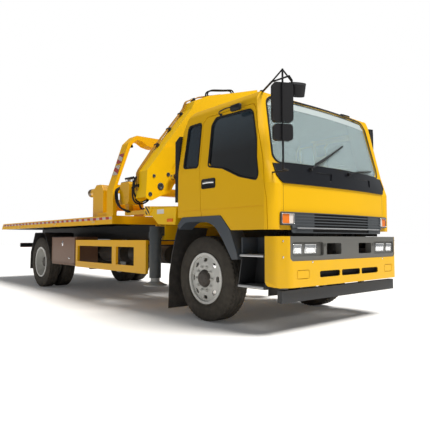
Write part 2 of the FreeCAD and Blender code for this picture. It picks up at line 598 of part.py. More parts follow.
def make_cab():
    """The cab is one hollow shell, split where its panels meet."""
    outer = cab_form("CabOuter", 0)
    inner = cab_form("CabInner", "cab_wall")
    room = common("CabRoom", [inner, box("CabRoomBox", (-2000, 2000), (-2000, 2000), ("cab_floor + cab_floor_wall", 3000))])
    bay = common("CabBay", [inner, box("CabBayBox", (-2000, 2000), (-2000, 2000), (800, "cab_floor"))])
    arch = prism("CabArch", "xz", [("cab_rear - 50", 800), ("cab_rear - 50", "cab_floor"), (392, "cab_floor"),
                                   (560, "cab_sill"), (560, 800)], (-2000, 2000))
    below = box("CabBelow", (-2000, 2000), (-2000, 2000), (800, "cab_sill"))
    crease = pair("CabCrease", box("CabCreaseLeft", ("cab_rear - 10", 1080), ("cab_half - 4", "cab_half + 20"), (1322, 1331)))
    door_left = side_prism("DoorCutLeft", grown(DOOR, (500, 1700), "door_gap"), 1000, 1400)
    screen = prism("ScreenCut", "yz", SCREEN, (700, 1400), {0: 90, 1: 90, 2: 120, 3: 120})
    quarter = side_prism("QuarterCut", QUARTER, 1000, 1400, {i: 40 for i in range(4)})
    rear = prism("RearWindowCut", "yz", [(-500, 1900), (500, 1900), (500, 2300), (-500, 2300)], ("cab_rear - 90", "cab_rear + 120"),
                 {i: 50 for i in range(4)})
    lug = box("CabLugBlock", ("cab_pivot_x - 40", "cab_pivot_x + 40"), (418, 462), ("cab_pivot_z - 38", "cab_floor + 10"))
    lug = cut("CabLug", lug, [rod("CabLugBore", "y", ("cab_pivot_x", "cab_pivot_z"), "cab_pin_radius + running_gap", (400, 480))])
    solid = cut("CabHollow", outer, [room, bay, arch, below, crease])
    shell = cut("CabPanels", solid, [door_left, mirror("DoorCutRight", door_left), screen, quarter, mirror("QuarterCutRight", quarter), rear])
    shell = fuse("CabWhole", [shell, lug, mirror("CabLugLeft", lug)])
    node("cab_shell", [shell])
    return solid


def make_glass():
    """Windscreen, quarter windows and rear window: sheets that follow the cab's form."""
    a = cab_form("GlassOuter", "glass_depth")
    b = cab_form("GlassInner", "glass_depth + glass_wall")
    sheet_form = cut("GlassForm", a, [b])
    screen = prism("ScreenTool", "yz", grown(SCREEN, (0, 2100), "-seat_gap"), (710, 1400), {0: 90, 1: 90, 2: 120, 3: 120})
    quarter = side_prism("QuarterTool", grown(QUARTER, (-150, 2100), "-seat_gap"), 1000, 1400, {i: 40 for i in range(4)})
    rear = prism("RearTool", "yz", grown([(-500, 1900), (500, 1900), (500, 2300), (-500, 2300)], (0, 2100), "-seat_gap"),
                 ("cab_rear - 90", "cab_rear + 100"), {i: 50 for i in range(4)})
    pieces = [common("Windscreen", [sheet_form, screen]), common("QuarterGlass", [sheet_form, quarter]),
              common("RearGlass", [sheet_form, rear])]
    node("cab_glass", [pieces[0], pair("QuarterGlasses", pieces[1]), pieces[2]])
    return sheet_form


def make_doors(solid, sheet_form):
    """Each door is the cab's own wall inside the door line, with a window sheet."""
    tool = side_prism("DoorTool", DOOR, 1000, 1400)
    opening = side_prism("DoorOpening", DOOR_WINDOW, 1000, 1400, DOOR_WINDOW_ROUNDS)
    slab_outline = [("cab_half - cab_wall - 15", 1000), ("cab_half - cab_wall - 15", 1840), ("cab_half - cab_wall - 110", 2520),
                    ("cab_half + 50", 2520), ("cab_half + 50", 1000)]
    whole = common("DoorWall", [solid, tool, prism("DoorDepth", "yz", slab_outline, (-100, 1200))])
    cup = side_prism("DoorHandleRoom", [(52, 1588), (182, 1588), (182, 1684), (52, 1684)], "cab_half - 18", 1400, {i: 22 for i in range(4)})
    door = cut("DoorPanel", whole, [opening, cup])
    grip = box("DoorGrip", (66, 168), ("cab_half - 18", "cab_half - 5"), (1622, 1652))
    bar = box("DoorGripBar", (58, 176), ("cab_half - 17", "cab_half - 9"), (1630, 1645))
    door = fuse("DoorWhole", [door, grip, bar])
    node("door_left", [door])
    node("door_right", [mirror("DoorRight", door)])
    pane_tool = side_prism("PaneTool", grown(DOOR_WINDOW, (600, 2000), "-seat_gap"), 1000, 1400, DOOR_WINDOW_ROUNDS)
    pane = common("DoorPane", [sheet_form, pane_tool])
    node("door_glass_left", [pane])
    node("door_glass_right", [mirror("DoorPaneRight", pane)])


def make_cab_trim():
    """Black cowl and screen seal, grille with its lip, corner lamps, arch flares, roof lamps and intake duct."""
    b = cab_form("TrimInner", 0)
    skin = cut("TrimForm", cab_form("TrimOuter", -16), [b])
    cowl_tool = prism("CowlTool", "yz", [(-1065, 1650), (-985, 1565), (985, 1565), (1065, 1650), (1065, 1779.7), (-1065, 1779.7)], (900, 1400),
                      {0: 40, 1: 40, 2: 40, 3: 40})
    pockets = [prism(f"CowlPocket{i}", "yz", [(low, 1632), (high, 1632), (high + 25, 1722), (low - 25, 1722)], (900, 1400),
                     {0: 20, 1: 20}) for i, (low, high) in enumerate(((-440, -220), (290, 640)))]
    pockets = cut("CowlPockets", fuse("CowlPocketsFused", pockets), [cab_form("CowlPocketBack", -5)])
    cowl = cut("Cowl", common("CowlSkin", [skin, cowl_tool]), [pockets])
    seal_tool = cut("SealTool", prism("SealOutside", "yz", SCREEN_SEAL, (700, 1400), {0: 110, 1: 110, 2: 140, 3: 140}),
                    [prism("SealInside", "yz", SCREEN, (690, 1410), {0: 90, 1: 90, 2: 120, 3: 120})])
    seal = common("ScreenSeal", [cut("SealForm", cab_form("SealOuter", -6), [b]), seal_tool])
    roof_lamp = common("RoofLamp", [cut("RoofLampForm", cab_form("RoofLampOuter", -30), [b]), box("RoofLampBox", (800, 850), (560, 700), (2500, 2750))])
    node("screen_garnish", [cowl, seal, pair("RoofLamps", roof_lamp)])
    grille_tool = prism("GrilleTool", "yz", [(-890, 1100), (890, 1100), (890, 1125), (1045, 1125), (1045, 1265), (-1045, 1265),
                                             (-1045, 1125), (-890, 1125)], (900, 1400), {3: 20, 4: 20, 5: 20, 6: 20})
    lip_tool = prism("GrilleLipTool", "yz", [(-880, 1045), (880, 1045), (880, 1115), (-880, 1115)], (900, 1400), {0: 25, 1: 25})
    grille = common("GrillePanel", [cut("GrilleForm", cab_form("GrilleOuter", -28), [b]), grille_tool])
    lip = common("GrilleLip", [skin, lip_tool])
    grille = fuse("GrilleFused", [grille, lip])
    gaps = [box(f"GrilleGap{i}", (1000, 1300), (-540, 540), (1108 + 32 * i, 1129 + 32 * i)) for i in range(5)]
    mouth = box("GrilleMouth", (1000, 1300), (-560, 560), (1056, 1090))
    deep = cut("GrilleDeep", fuse("GrilleGaps", gaps + [mouth]), [cab_form("GrilleBack", -4)])
    shallow = [box(f"GrilleRib{i}", (1000, 1300), (-845, 845), (1108 + 32 * i, 1129 + 32 * i)) for i in range(5)]
    shallow = cut("GrilleShallow", fuse("GrilleRibs", shallow), [cab_form("GrilleRibBack", -20)])
    lamp_room = pair("LampRoomCab", box("LampRoomCabLeft", (900, 1400), (865, 1030), (1146, 1244)))
    node("front_grille", [cut("Grille", grille, [deep, shallow, lamp_room])])
    lamp_tool = box("CornerLampTool", (900, 1400), ("865 + seat_gap", "1030 - seat_gap"), ("1146 + seat_gap", "1244 - seat_gap"))
    lamp = common("CornerLamp", [cut("CornerLampForm", cab_form("CornerLampOuter", -24), [b]), lamp_tool])
    node("cab_lamps", [pair("CornerLamps", lamp)])
    flare = prism("Flare", "xz", [("cab_rear + 5", 1150), ("cab_rear + 100", "cab_floor"), (392, "cab_floor"), (555, 1073), (663, 830), (676, 765),
                                  (584, 756), (434, 973), (276, 1153), (80, 1190), (-262, 1190), (-395, 1100)], (1000, "cab_half + 8"),
                  {1: 60, 2: 90, 3: 200, 8: 300, 9: 200, 10: 200})
    node("arch_flares", [pair("ArchFlares", flare)])
    duct = prism("IntakeDuct", "xz", [("cab_rear - 75", 1450), ("cab_rear + 1.05 - seat_gap", 1450), ("cab_rear + 18.74 - seat_gap", 2290),
                                      ("cab_rear - 75", 2230)], ("-cab_half + 10", "-cab_half + 110"))
    node("intake_duct", [duct])


def strut(name, start, end, radius):
    """A straight round bar between two points, a little longer at both ends so that bars run into each other."""
    bar = document.addObject("Part::Cylinder", name)
    way = Vector(*end) - Vector(*start)
    reach = way.normalize() * (radius / 2)
    bar.Radius = radius
    bar.Height = (Vector(*end) - Vector(*start)).Length + radius
    bar.Placement = FreeCAD.Placement(Vector(*start) - reach, FreeCAD.Rotation(Vector(0, 0, 1), way))
    return bar


def mirror_head(name, middle, size, facing, corner):
    """A flat shell with round corners, turned about the upright axis; its back faces the given angle."""
    width, height, depth = size
    shell = prism(name, "yz", [(-width / 2, -height / 2), (width / 2, -height / 2), (width / 2, height / 2), (-width / 2, height / 2)],
                  (-depth / 2, depth / 2), {i: corner for i in range(4)})
    held = document.addObject("Part::Compound", name + "Held")
    held.Links = [shell]
    held.Placement = FreeCAD.Placement(Vector(*middle), FreeCAD.Rotation(Vector(0, 0, 1), facing))
    return held


def make_mirrors():
    """Far side: heads and a round one on arms ahead of the pillar. Driver's side: heads on an arm of the door."""
    body = cab_form("MirrorSeat", "-seat_gap")
    apex, rod_foot, roof_end = (1338, -1220, 2655), (1338, -1220, 1670), (850, -1000, 2590)
    bars = [strut("MirrorRod", rod_foot, apex, 10), strut("MirrorApexArm", (1130, -1150, 2600), apex, 8),
            strut("MirrorRoofArm", roof_end, (1130, -1150, 2600), 11), strut("MirrorTopArm", (1130, -1150, 2600), (1360, -1145, 2600), 9),
            strut("MirrorCornerArm", (1360, -1145, 2600), (1370, -1115, 2560), 9),
            strut("MirrorSideArm", (1370, -1115, 2560), (1370, -1115, 2170), 9),
            strut("MirrorRoofPad", (850, -1000, 2540), (850, -1000, 2600), 22),
            strut("MirrorFootArm", (1040, -1105, 1670), (1303, -1105, 1670), 9), strut("MirrorFootTurn", (1303, -1105, 1670), rod_foot, 9),
            strut("MirrorRoundArm", apex, (1345, -1010, 2510), 8)]
    heads = [mirror_head("MirrorHead", (1310, -1196, 2332), (215, 395, 60), -28, 40),
             mirror_head("MirrorLow", (1315, -1196, 2032), (200, 165, 50), -28, 35),
             strut("MirrorRound", (1345, -1010, 2515), (1330, -1000, 2480), 88)]
    whole = cut("MirrorWhole", fuse("MirrorFused", bars + heads), [body])
    node("mirrors", [whole])
    top, foot = (851, 1262, 2525), (851, 1262, 1710)
    bars = [strut("DoorMirrorRod", foot, top, 10), strut("DoorMirrorTop", top, (830, 1155, 2520), 9),
            strut("DoorMirrorDrop", (830, 1155, 2520), (830, 1122, 2424), 9), strut("DoorMirrorFoot", foot, (1004, 1195, 1665), 9)]
    heads = [mirror_head("DoorMirrorHead", (836, 1222, 2340), (170, 340, 50), 16, 40),
             mirror_head("DoorMirrorLow", (856, 1248, 1915), (116, 190, 46), 16, 45)]
    node("door_mirror", [cut("DoorMirrorWhole", fuse("DoorMirrorFused", bars + heads), [body])])


def make_interior():
    """Seats, dashboard and steering wheel, seen through the glass."""
    base = box("SeatBase", (-60, 440), (350, 850), ("cab_floor + cab_floor_wall", 1660))
    back = prism("SeatBack", "xz", [(-60, 1640), (60, 1660), (-60, 2280), (-160, 2260)], (370, 830), {2: 40, 3: 40})
    seat = fuse("Seat", [base, back])
    tunnel = box("EngineTunnel", (-300, 600), (-250, 250), ("cab_floor + cab_floor_wall", 1500))
    node("seats", [pair("Seats", seat), tunnel])
    dash = prism("DashBlock", "xz", [(780, "cab_floor + cab_floor_wall"), (1130, "cab_floor + cab_floor_wall"), (1130, 1760), (1000, 1775), (820, 1740), (740, 1600)],
                 (-1025, 1025), {5: 60, 4: 40})
    dash = common("Dash", [dash, cab_form("DashRoom", "cab_wall + 8")])
    wheel = document.addObject("Part::Compound", "SteeringRim")
    wheel.Links = [cut("SteeringRing", rod("SteeringOutside", "z", (0, 0), 228, (-13, 13)), [rod("SteeringInside", "z", (0, 0), 200, (-14, 14))])]
    wheel.Placement = FreeCAD.Placement(Vector(640, -600, 1820), FreeCAD.Rotation(ACROSS, -40))
    column = document.addObject("Part::Cylinder", "SteeringColumn")
    column.Radius = 28
    column.Height = 330
    column.Placement = FreeCAD.Placement(Vector(645, -600, 1815), FreeCAD.Rotation(ACROSS, 140))
    spoke = box("SteeringSpoke", (-215, 215), (-20, 20), (-8, 8))
    spokes = document.addObject("Part::Compound", "SteeringSpokes")
    spokes.Links = [spoke]
    spokes.Placement = FreeCAD.Placement(Vector(640, -600, 1820), FreeCAD.Rotation(ACROSS, -40))
    steering = mirror("SteeringLeft", fuse("Steering", [wheel, column, spokes]))
    node("dashboard", [fuse("DashWhole", [dash, steering])])


# Wheels


def tyre_outline(width):
    """A tyre with its beads inside the rim flanges: places along the axle and radii."""
    half = f"({width})/2"
    right = [(f"{half} - 24 - running_gap", "rim_radius + running_gap"), (f"{half} - 24 - running_gap", "rim_radius + rim_edge + running_gap"),
             (half, "rim_radius + 66"), (f"{half} - 4", "tyre_radius - 55"), (f"{half} - 32", "tyre_radius")]
    return right + [(f"-({y})", r) for y, r in reversed(right)]


def make_front_wheels():
    """Steering knuckles, and the front tyres on their dished rims."""
    pin = rod("Kingpin", "z", (0, "kingpin_y"), "kingpin_radius", ("tyre_radius - 105", "tyre_radius + 105"))
    upper = box("KnuckleUpper", (-45, 45), ("kingpin_y - 45", "kingpin_y + 70"), ("tyre_radius + 60", "tyre_radius + 105"))
    lower = box("KnuckleLower", (-45, 45), ("kingpin_y - 45", "kingpin_y + 70"), ("tyre_radius - 105", "tyre_radius - 60"))
    web = box("KnuckleWeb", (-60, 60), ("kingpin_y + 57", "kingpin_y + 80"), ("tyre_radius - 105", "tyre_radius + 105"))
    spindle = rod("Spindle", "y", (0, "tyre_radius"), "spindle_radius", ("kingpin_y + 70", "front_track_half + 60"))
    knuckle = fuse("Knuckle", [pin, upper, lower, web, spindle])
    node("knuckle_left", [knuckle])
    node("knuckle_right", [mirror("KnuckleRight", knuckle)])
    place = (0, "front_track_half", "tyre_radius")
    tyre = turned("FrontTyre", tyre_outline("tyre_width"), place)
    node("front_tyre_left", [tyre])
    node("front_tyre_right", [mirror("FrontTyreRight", tyre)])


def hand_holes(name, radius, count, size, span, centre):
    """Oval holes in a ring through a wheel's disc: size gives their length along the ring and their width."""
    length, width = size
    holes = []
    for i in range(count):
        oval = prism(f"{name}{i}", "xz", [(radius - width / 2, -length / 2), (radius + width / 2, -length / 2),
                                          (radius + width / 2, length / 2), (radius - width / 2, length / 2)], span,
                     {k: width / 2 - 1 for k in range(4)})
        held = document.addObject("Part::Compound", f"{name}Held{i}")
        held.Links = [oval]
        held.Placement = FreeCAD.Placement(Vector(number(centre[0]), 0, number(centre[1])), FreeCAD.Rotation(ACROSS, 360 / count * i))
        holes.append(held)
    return holes


def make_rims():
    """Dished disc wheels: the front ones bow outwards, the twin ones inwards."""
    outline = [("-tyre_width/2 + 14", "rim_radius + rim_edge"), ("-tyre_width/2 + 14", "rim_radius - rim_wall"),
               ("tyre_width/2 - 55", "rim_radius - rim_wall"), ("tyre_width/2 - 30", "190"), ("tyre_width/2 - 30", "115"),
               ("-tyre_width/2 + 80", "115"), ("-tyre_width/2 + 80", "spindle_radius + running_gap"),
               (62, "spindle_radius + running_gap"), (62, 0), ("tyre_width/2 + 12", 0),
               ("tyre_width/2 + 12", 88), ("tyre_width/2 - 14", 100), ("tyre_width/2 - 14", 180),
               ("tyre_width/2 - 40", "rim_radius - rim_wall"), ("tyre_width/2 - 14", "rim_radius - rim_wall"),
               ("tyre_width/2 - 14", "rim_radius + rim_edge"), ("tyre_width/2 - 24", "rim_radius + rim_edge"), ("tyre_width/2 - 24", "rim_radius"),
               ("-tyre_width/2 + 24", "rim_radius"), ("-tyre_width/2 + 24", "rim_radius + rim_edge")]
    rim = turned("FrontRimTurned", outline, (0, "front_track_half", "tyre_radius"))
    rim = cut("FrontRim", rim, hand_holes("FrontHole", 222, 8, (72, 44), (1000, 1200), (0, "tyre_radius")))
    node("front_rim_left", [rim])
    node("front_rim_right", [mirror("FrontRimRight", rim)])


def make_rear_wheels():
    """Twin tyres on each side, with one hub through both rims."""
    inner = turned("TwinTyreInner", tyre_outline("twin_tyre_width"), ("-wheelbase", "twin_inner_y", "tyre_radius"))
    outer = turned("TwinTyreOuter", tyre_outline("twin_tyre_width"), ("-wheelbase", "twin_outer_y", "tyre_radius"))
    tyres = document.addObject("Part::Compound", "TwinTyres")
    tyres.Links = [inner, outer]
    node("twin_tyres_left", [tyres])
    node("twin_tyres_right", [mirror("TwinTyresRight", tyres)])


def make_twin_rims():
    """The two dished rims meet back to back at the hub."""
    gap, half = "(twin_outer_y - twin_inner_y)/2", "twin_tyre_width/2"
    middle = ("-wheelbase", "(twin_outer_y + twin_inner_y)/2", "tyre_radius")

    def half_rim(name, s):
        """One rim: s is 1 for the outer one and -1 for the inner one."""
        at = lambda k: f"{s}*({gap} + ({k}))"
        pts = [(at(f"{half} - 14"), "rim_radius + rim_edge"), (at(f"{half} - 24"), "rim_radius + rim_edge"), (at(f"{half} - 24"), "rim_radius"),
               (at(f"-{half} + 24"), "rim_radius"), (at(f"-{half} + 24"), "rim_radius + rim_edge"), (at(f"-{half} + 14"), "rim_radius + rim_edge"),
               (at(f"-{half} + 14"), "rim_radius - rim_wall"), (f"{s}*4", 240), (f"{s}*4", 112), (f"{s}*18", 112), (f"{s}*18", 230),
               (at(f"-{half} + 40"), "rim_radius - rim_wall"), (at(f"{half} - 14"), "rim_radius - rim_wall")]
        return turned(name, pts, middle)

    bore = "spindle_radius + 15 + running_gap"
    hub = turned("TwinHub", [(-170, bore), (-170, 150), (-10, 150), (-10, 114), (20, 114), (120, 108), (195, 95), (195, 0),
                             (185, 0), (185, bore)], middle)
    rims = [half_rim("TwinRimOuter", 1), half_rim("TwinRimInner", -1)]
    plate = turned("TwinPlate", [(-6, 110), (6, 110), (6, 240), (-6, 240)], middle)
    whole = fuse("TwinRims", rims + [hub, plate])
    whole = cut("TwinRimsHoled", whole, hand_holes("TwinHole", 196, 8, (66, 40), (880, 960), ("-wheelbase", "tyre_radius")))
    node("twin_rims_left", [whole])
    node("twin_rims_right", [mirror("TwinRimsRight", whole)])


# Tilting and sliding bed


def make_tilt_frame():
    """Two beams on the rails, hinged at the rear, with the cylinders that lift them."""
    beam = box("TiltBeam", ("tilt_pivot_x + 50", "bed_front - 60"), ("rail_half - 75", "rail_half"), ("tilt_beam_bottom", "tilt_beam_top"))
    lug = cut("TiltEar", prism("TiltEarPlate", "xz", [("tilt_pivot_x - 45", "tilt_pivot_z - 45"), ("tilt_pivot_x + 45", "tilt_pivot_z - 45"),
                                                       ("tilt_pivot_x + 160", "tilt_beam_top"), ("tilt_pivot_x + 55", "tilt_beam_top"),
                                                       ("tilt_pivot_x - 45", "tilt_pivot_z + 45")], (285, 335), {0: 30, 1: 30, 4: 30}),
              [rod("TiltEarBore", "y", ("tilt_pivot_x", "tilt_pivot_z"), "tilt_pin_radius + running_gap", (280, 340))])
    web = box("TiltEarWeb", ("tilt_pivot_x + 60", "tilt_pivot_x + 160"), (334, "rail_half - 70"), ("tilt_beam_bottom + 20", "tilt_beam_top"))
    side = fuse("TiltSide", [beam, lug, web])
    ties = [box(f"TiltTie{i}", (x, x + 70), ("-rail_half + 70", "rail_half - 70"), ("tilt_beam_bottom + 15", "tilt_beam_top - 5"))
            for i, x in enumerate((-6400, -5000, -3300, -2250))]
    ties += [box(f"TiltRodEar{i}", (-3450, -3295), span, (975, 1060))
             for i, span in enumerate(((205, 219.7), (280.3, 295), (-219.7, -205), (-295, -280.3)))]
    node("tilt_frame", [fuse("TiltFrame", [side, mirror("TiltSideLeft", side)] + ties)])


def make_tilt_cylinders():
    """Two lifting cylinders between the rails."""
    start = Vector(-4600, 250, 800)
    end = Vector(-3420, 250, 1010)
    lean = math.degrees(math.atan2(end.z - start.z, end.x - start.x))
    length = (end - start).Length

    def along(name, radius, low, high):
        """A bar on the cylinder's line, between two distances from its lower pin."""
        bar = document.addObject("Part::Cylinder", name)
        bar.Radius = radius
        bar.Height = high - low
        turn = FreeCAD.Rotation(ACROSS, 90 - lean)
        bar.Placement = FreeCAD.Placement(start + turn.multVec(Vector(0, 0, low)), turn)
        return bar

    barrel = fuse("TiltBarrel", [along("TiltTube", 58, 78, 1060), along("TiltNeck", 34, 15, 90), rod("TiltBarrelEye", "y", (start.x, start.z), 55, (215, 285))])
    bore = along("TiltTubeBore", 29, 100, 1070)
    pin = rod("TiltBarrelPinBore", "y", (start.x, start.z), 25, (200, 300))
    barrel = cut("TiltBarrelWhole", barrel, [bore, pin])
    ram = fuse("TiltRam", [along("TiltRod", 28, 180, length - 30), rod("TiltRodEye", "y", (end.x, end.z), 48, (220, 280))])
    node("tilt_barrels", [pair("TiltBarrels", barrel)])
    node("tilt_rods", [pair("TiltRods", ram)])


def make_bed():
    """The sliding bed: side rails, deck, cross members and runners."""
    deck = box("Deck", ("bed_rear + 60", "bed_front"), ("-bed_half", "bed_half"), ("deck_top - 30", "deck_top"))
    side = prism("BedSide", "xz", [("bed_rear", "bed_bottom + 12"), ("bed_rear + 5", "bed_bottom"), ("bed_front", "bed_bottom"), ("bed_front", "bed_top"),
                                   ("bed_rear + 125", "bed_top")], ("bed_half - 70", "bed_half"))
    tail = prism("BedTail", "xz", [("bed_rear", "bed_bottom + 12"), ("bed_rear + 5", "bed_bottom"), ("bed_rear + 300", "bed_bottom"), ("bed_rear + 300", "deck_top"),
                                   ("bed_rear + 95", "deck_top")], ("-bed_half + 60", "bed_half - 60"))
    head = box("BedHead", ("bed_front - 60", "bed_front"), ("-bed_half + 60", "bed_half - 60"), ("bed_bottom", "bed_top"))
    runner = box("BedRunner", ("bed_rear + 500", "bed_front - 20"), ("rail_half - 75", "rail_half"), ("tilt_beam_top + slide_gap", "bed_bottom + 70"))
    ribs = [box(f"BedRib{i}", (x, x + 60), ("-bed_half + 60", "bed_half - 60"), ("bed_bottom + 5", "deck_top - 20")) for i, x in enumerate(range(-7000, -2400, 560))]
    plate = box("TreadPlate", ("bed_rear + 130", -3260), ("-bed_half + 90", "bed_half - 90"), ("deck_top - 5", "deck_top + deck_plate"))
    whole = fuse("Bed", [deck, plate, side, mirror("BedSideLeft", side), tail, head, runner, mirror("BedRunnerLeft", runner)] + ribs)
    node("bed", [whole])


def make_hoop():
    """The hoop at the head of the bed: posts, legs that lean in and a deep header."""
    outer = [("bed_half", "bed_top"), ("bed_half", "hoop_knee"), (990, "hoop_top - 140"), (850, "hoop_top"), (0, "hoop_top")]
    inner = [(0, "hoop_top - 165"), (520, "hoop_top - 160"), (640, "hoop_top - 140"), (735, "hoop_top - 85"), (830, "hoop_top - 68"), (940, "hoop_top - 168"),
             (1165, 1845), ("bed_half - 65", 1780), ("bed_half - 65", "bed_top")]
    half = prism("HoopHalf", "yz", outer + inner, ("hoop_front - hoop_depth", "hoop_front"), {3: 60, 2: 60})
    rail = box("HoopRail", ("hoop_front - 120", "hoop_front - 20"), (-1190, 1190), (1700, 1825))
    gusset = box("HoopGusset", ("hoop_front - 600", "hoop_front - hoop_depth"), ("bed_half - 65", "bed_half - 45"), ("bed_top", "bed_top + 60"))
    node("headboard_hoop", [fuse("Hoop", [half, mirror("HoopLeft", half), rail, gusset, mirror("HoopGussetLeft", gusset)])])


def make_winch():
    """The winch behind the right post: gear case, motor and drum."""
    case = prism("WinchCase", "xz", [(-2950, "deck_top"), (-2580, "deck_top"), (-2580, 1780), (-2650, 1880), (-2830, 1885), (-2950, 1780)], (-1150, -900), {2: 60, 3: 60, 4: 60, 5: 60})
    motor = rod("WinchMotor", "x", (-1060, 1780), 72, (-3190, -2940))
    drum = rod("WinchDrum", "y", (-2765, 1560), 95, (-910, -350))
    flange = rod("WinchFlange", "y", (-2765, 1560), 170, (-880, -860))
    cheek = prism("WinchCheek", "xz", [(-2950, "deck_top"), (-2580, "deck_top"), (-2680, 1700), (-2850, 1700)], (-370, -340), {2: 40, 3: 40})
    node("winch", [fuse("Winch", [case, motor, drum, flange, cheek])])


# Crane


def line(start, end):
    """Length and angle above +Y of the line between two points given as (y, z) expressions."""
    dy, dz = number(end[0]) - number(start[0]), number(end[1]) - number(start[1])
    return math.hypot(dy, dz), math.degrees(math.atan2(dz, dy))


def slab(name, parts, centre, angle):
    """Pieces drawn along +Y from a pivot at the origin, turned about X and moved to the pivot."""
    held = document.addObject("Part::Compound", name)
    held.Links = parts
    held.Placement = FreeCAD.Placement(Vector(0, number(centre[0]), number(centre[1])), FreeCAD.Rotation(Vector(1, 0, 0), angle))
    return held


def make_crane_base():
    """The box that straddles the rails, with the sleeves of the outrigger beams."""
    outline = [("outrigger_x - 204", "base_top"), ("cab_rear - 30", "base_top - 40"), ("cab_rear - 60", "base_bottom"), ("outrigger_x + 140", "base_bottom + 16"),
               ("outrigger_x - 15", "base_bottom + 136"), ("outrigger_x - 200", "base_bottom + 136")]
    top = prism("BaseTop", "xz", outline, ("-cab_half", "cab_half"))
    sleeve = cut("BeamSleeve", box("BeamSleeveBlock", ("outrigger_x - 80", "outrigger_x + 80"), (-1040, 1040), ("rail_top", "base_bottom + 5")),
                 [box("BeamSleeveRoom", ("outrigger_x - 60 - slide_gap", "outrigger_x + 60 + slide_gap"), (-1050, 1050), (1030 - 5, 1150 + 5))])
    middle = box("BaseMiddle", ("crane_x - 220", "cab_rear - 60"), (-400, 400), ("base_bottom + 1", "base_top + 30"))
    seat = rod("SlewSeat", "z", ("crane_x", 0), 240, ("base_bottom + 50", "base_top + 60"))
    feet = pair("BaseFeet", box("BaseFoot", ("crane_x - 200", "crane_x + 100"), ("rail_half - 75", "rail_half"), ("rail_top", "base_bottom + 140")))
    lip = box("BaseLip", ("outrigger_x - 204", "cab_rear - 62"), ("-cab_half - 12", "cab_half + 12"), ("base_top - 62", "base_top - 44"))
    plate = pair("BaseEndPlate", prism("BaseEndPlateLeft", "xz", [("outrigger_x - 160", "base_top - 8"), ("outrigger_x + 20", "base_top - 16"),
                                                                  ("outrigger_x - 60", "base_bottom + 150"), ("outrigger_x - 160", "base_bottom + 150")],
                                       ("cab_half - 2", "cab_half + 14")))
    node("crane_base", [fuse("CraneBase", [top, sleeve, middle, seat, feet, lip, plate])])


def make_controls():
    """The operator's stand behind the base: valve body and levers."""
    body = prism("ValveBody", "xz", [(-1940, 1500), (-1700, 1500), (-1660, 1560), (-1660, 1800), (-1700, 1840), (-1900, 1840), (-1940, 1780)], (-1200, -1010), {0: 30, 1: 30, 3: 20, 5: 30})
    arm = box("ValveArm", (-1900, "outrigger_x - 204"), (-1130, -1060), (1340, 1400))
    riser = box("ValveRiser", (-1900, -1780), (-1130, -1060), (1380, 1510))
    knob = box("LeverBar", (-1860, -1750), (-1150, -1080), (1885, 1905))
    stem = box("LeverStem", (-1810, -1795), (-1130, -1110), (1835, 1890))
    node("crane_controls", [fuse("Controls", [body, arm, riser, knob, stem])])


def make_outriggers():
    """A beam that slides out on each side, and a leg that slides down in it."""
    beam = box("OutriggerBeam", ("outrigger_x - 60", "outrigger_x + 60"), (60, "outrigger_y"), (1030, 1150))
    tube = rod("LegTube", "z", ("outrigger_x", "outrigger_y"), "outrigger_leg", (455, 1155))
    cap = rod("LegCollar", "z", ("outrigger_x", "outrigger_y"), "outrigger_leg + 12", (990, 1080))
    bore = rod("LegBore", "z", ("outrigger_x", "outrigger_y"), "outrigger_leg - 18", (400, 1120))
    outer = cut("OutriggerOuter", fuse("OutriggerFused", [beam, tube, cap]), [bore])
    node("outrigger_left", [outer])
    node("outrigger_right", [mirror("OutriggerRight", outer)])
    rod_in = rod("LegRod", "z", ("outrigger_x", "outrigger_y"), "outrigger_leg - 18 - running_gap", ("leg_foot + 30", 1000))
    foot = cone("LegFoot", "z", ("outrigger_x", "outrigger_y"), (150, 60), ("leg_foot + 12", "leg_foot + 60"))
    sole = rod("LegSole", "z", ("outrigger_x", "outrigger_y"), 160, ("leg_foot", "leg_foot + 14"))
    leg = fuse("OutriggerLeg", [rod_in, foot, sole])
    node("outrigger_leg_left", [leg])
    node("outrigger_leg_right", [mirror("OutriggerLegRight", leg)])


HEAD = ("head_y", "head_z")
KNUCKLE = ("knuckle_y", "knuckle_z")


def make_column():
    """The slewing column: two cheeks with a web, carrying the boom's head pin."""
    outline = [(-210, "base_top + 60 + running_gap"), (380, "base_top + 60 + running_gap"), (440, 2500), ("head_y + 170", "head_z"), ("head_y + 120", "head_z + 130"), ("head_y - 60", "head_z + 150"),
               ("head_y - 165", "head_z"), (0, 2350), (-210, 1900)]
    cheeks = [prism(f"ColumnCheek{i}", "yz", outline, span, {5: 60, 4: 60}) for i, span in enumerate((
        ("crane_x + boom_width/2 + boom_gap", "crane_x + boom_width/2 + boom_gap + 30"),
        ("crane_x - boom_width/2 - boom_gap - 30", "crane_x - boom_width/2 - boom_gap")))]
    web = prism("ColumnWeb", "yz", [(-200, "base_top + 60 + running_gap"), (380, "base_top + 60 + running_gap"), (410, 2430), (120, 2280), (-120, 2050), (-200, 2000)],
                ("crane_x - boom_width/2 - boom_gap - 1", "crane_x + boom_width/2 + boom_gap + 1"))
    table = rod("SlewTable", "z", ("crane_x", 0), 230, ("base_top + 60 + running_gap", "base_top + 110"))
    foot = fuse("LuffFoot", [rod("LuffFootPin", "x", ("head_y", 1640), 30.2, ("crane_x - boom_width/2 - 150", "crane_x - boom_width/2")),
                             rod("LuffFootBoss", "x", ("head_y", 1640), 38, ("crane_x - boom_width/2 - 71.7", "crane_x - boom_width/2 - boom_gap"))])
    pin = rod("HeadPin", "x", HEAD, 40, ("crane_x - boom_width/2 - boom_gap - 30", "crane_x + boom_width/2 + boom_gap + 30"))
    node("crane_column", [fuse("Column", cheeks + [web, table, pin, foot])])


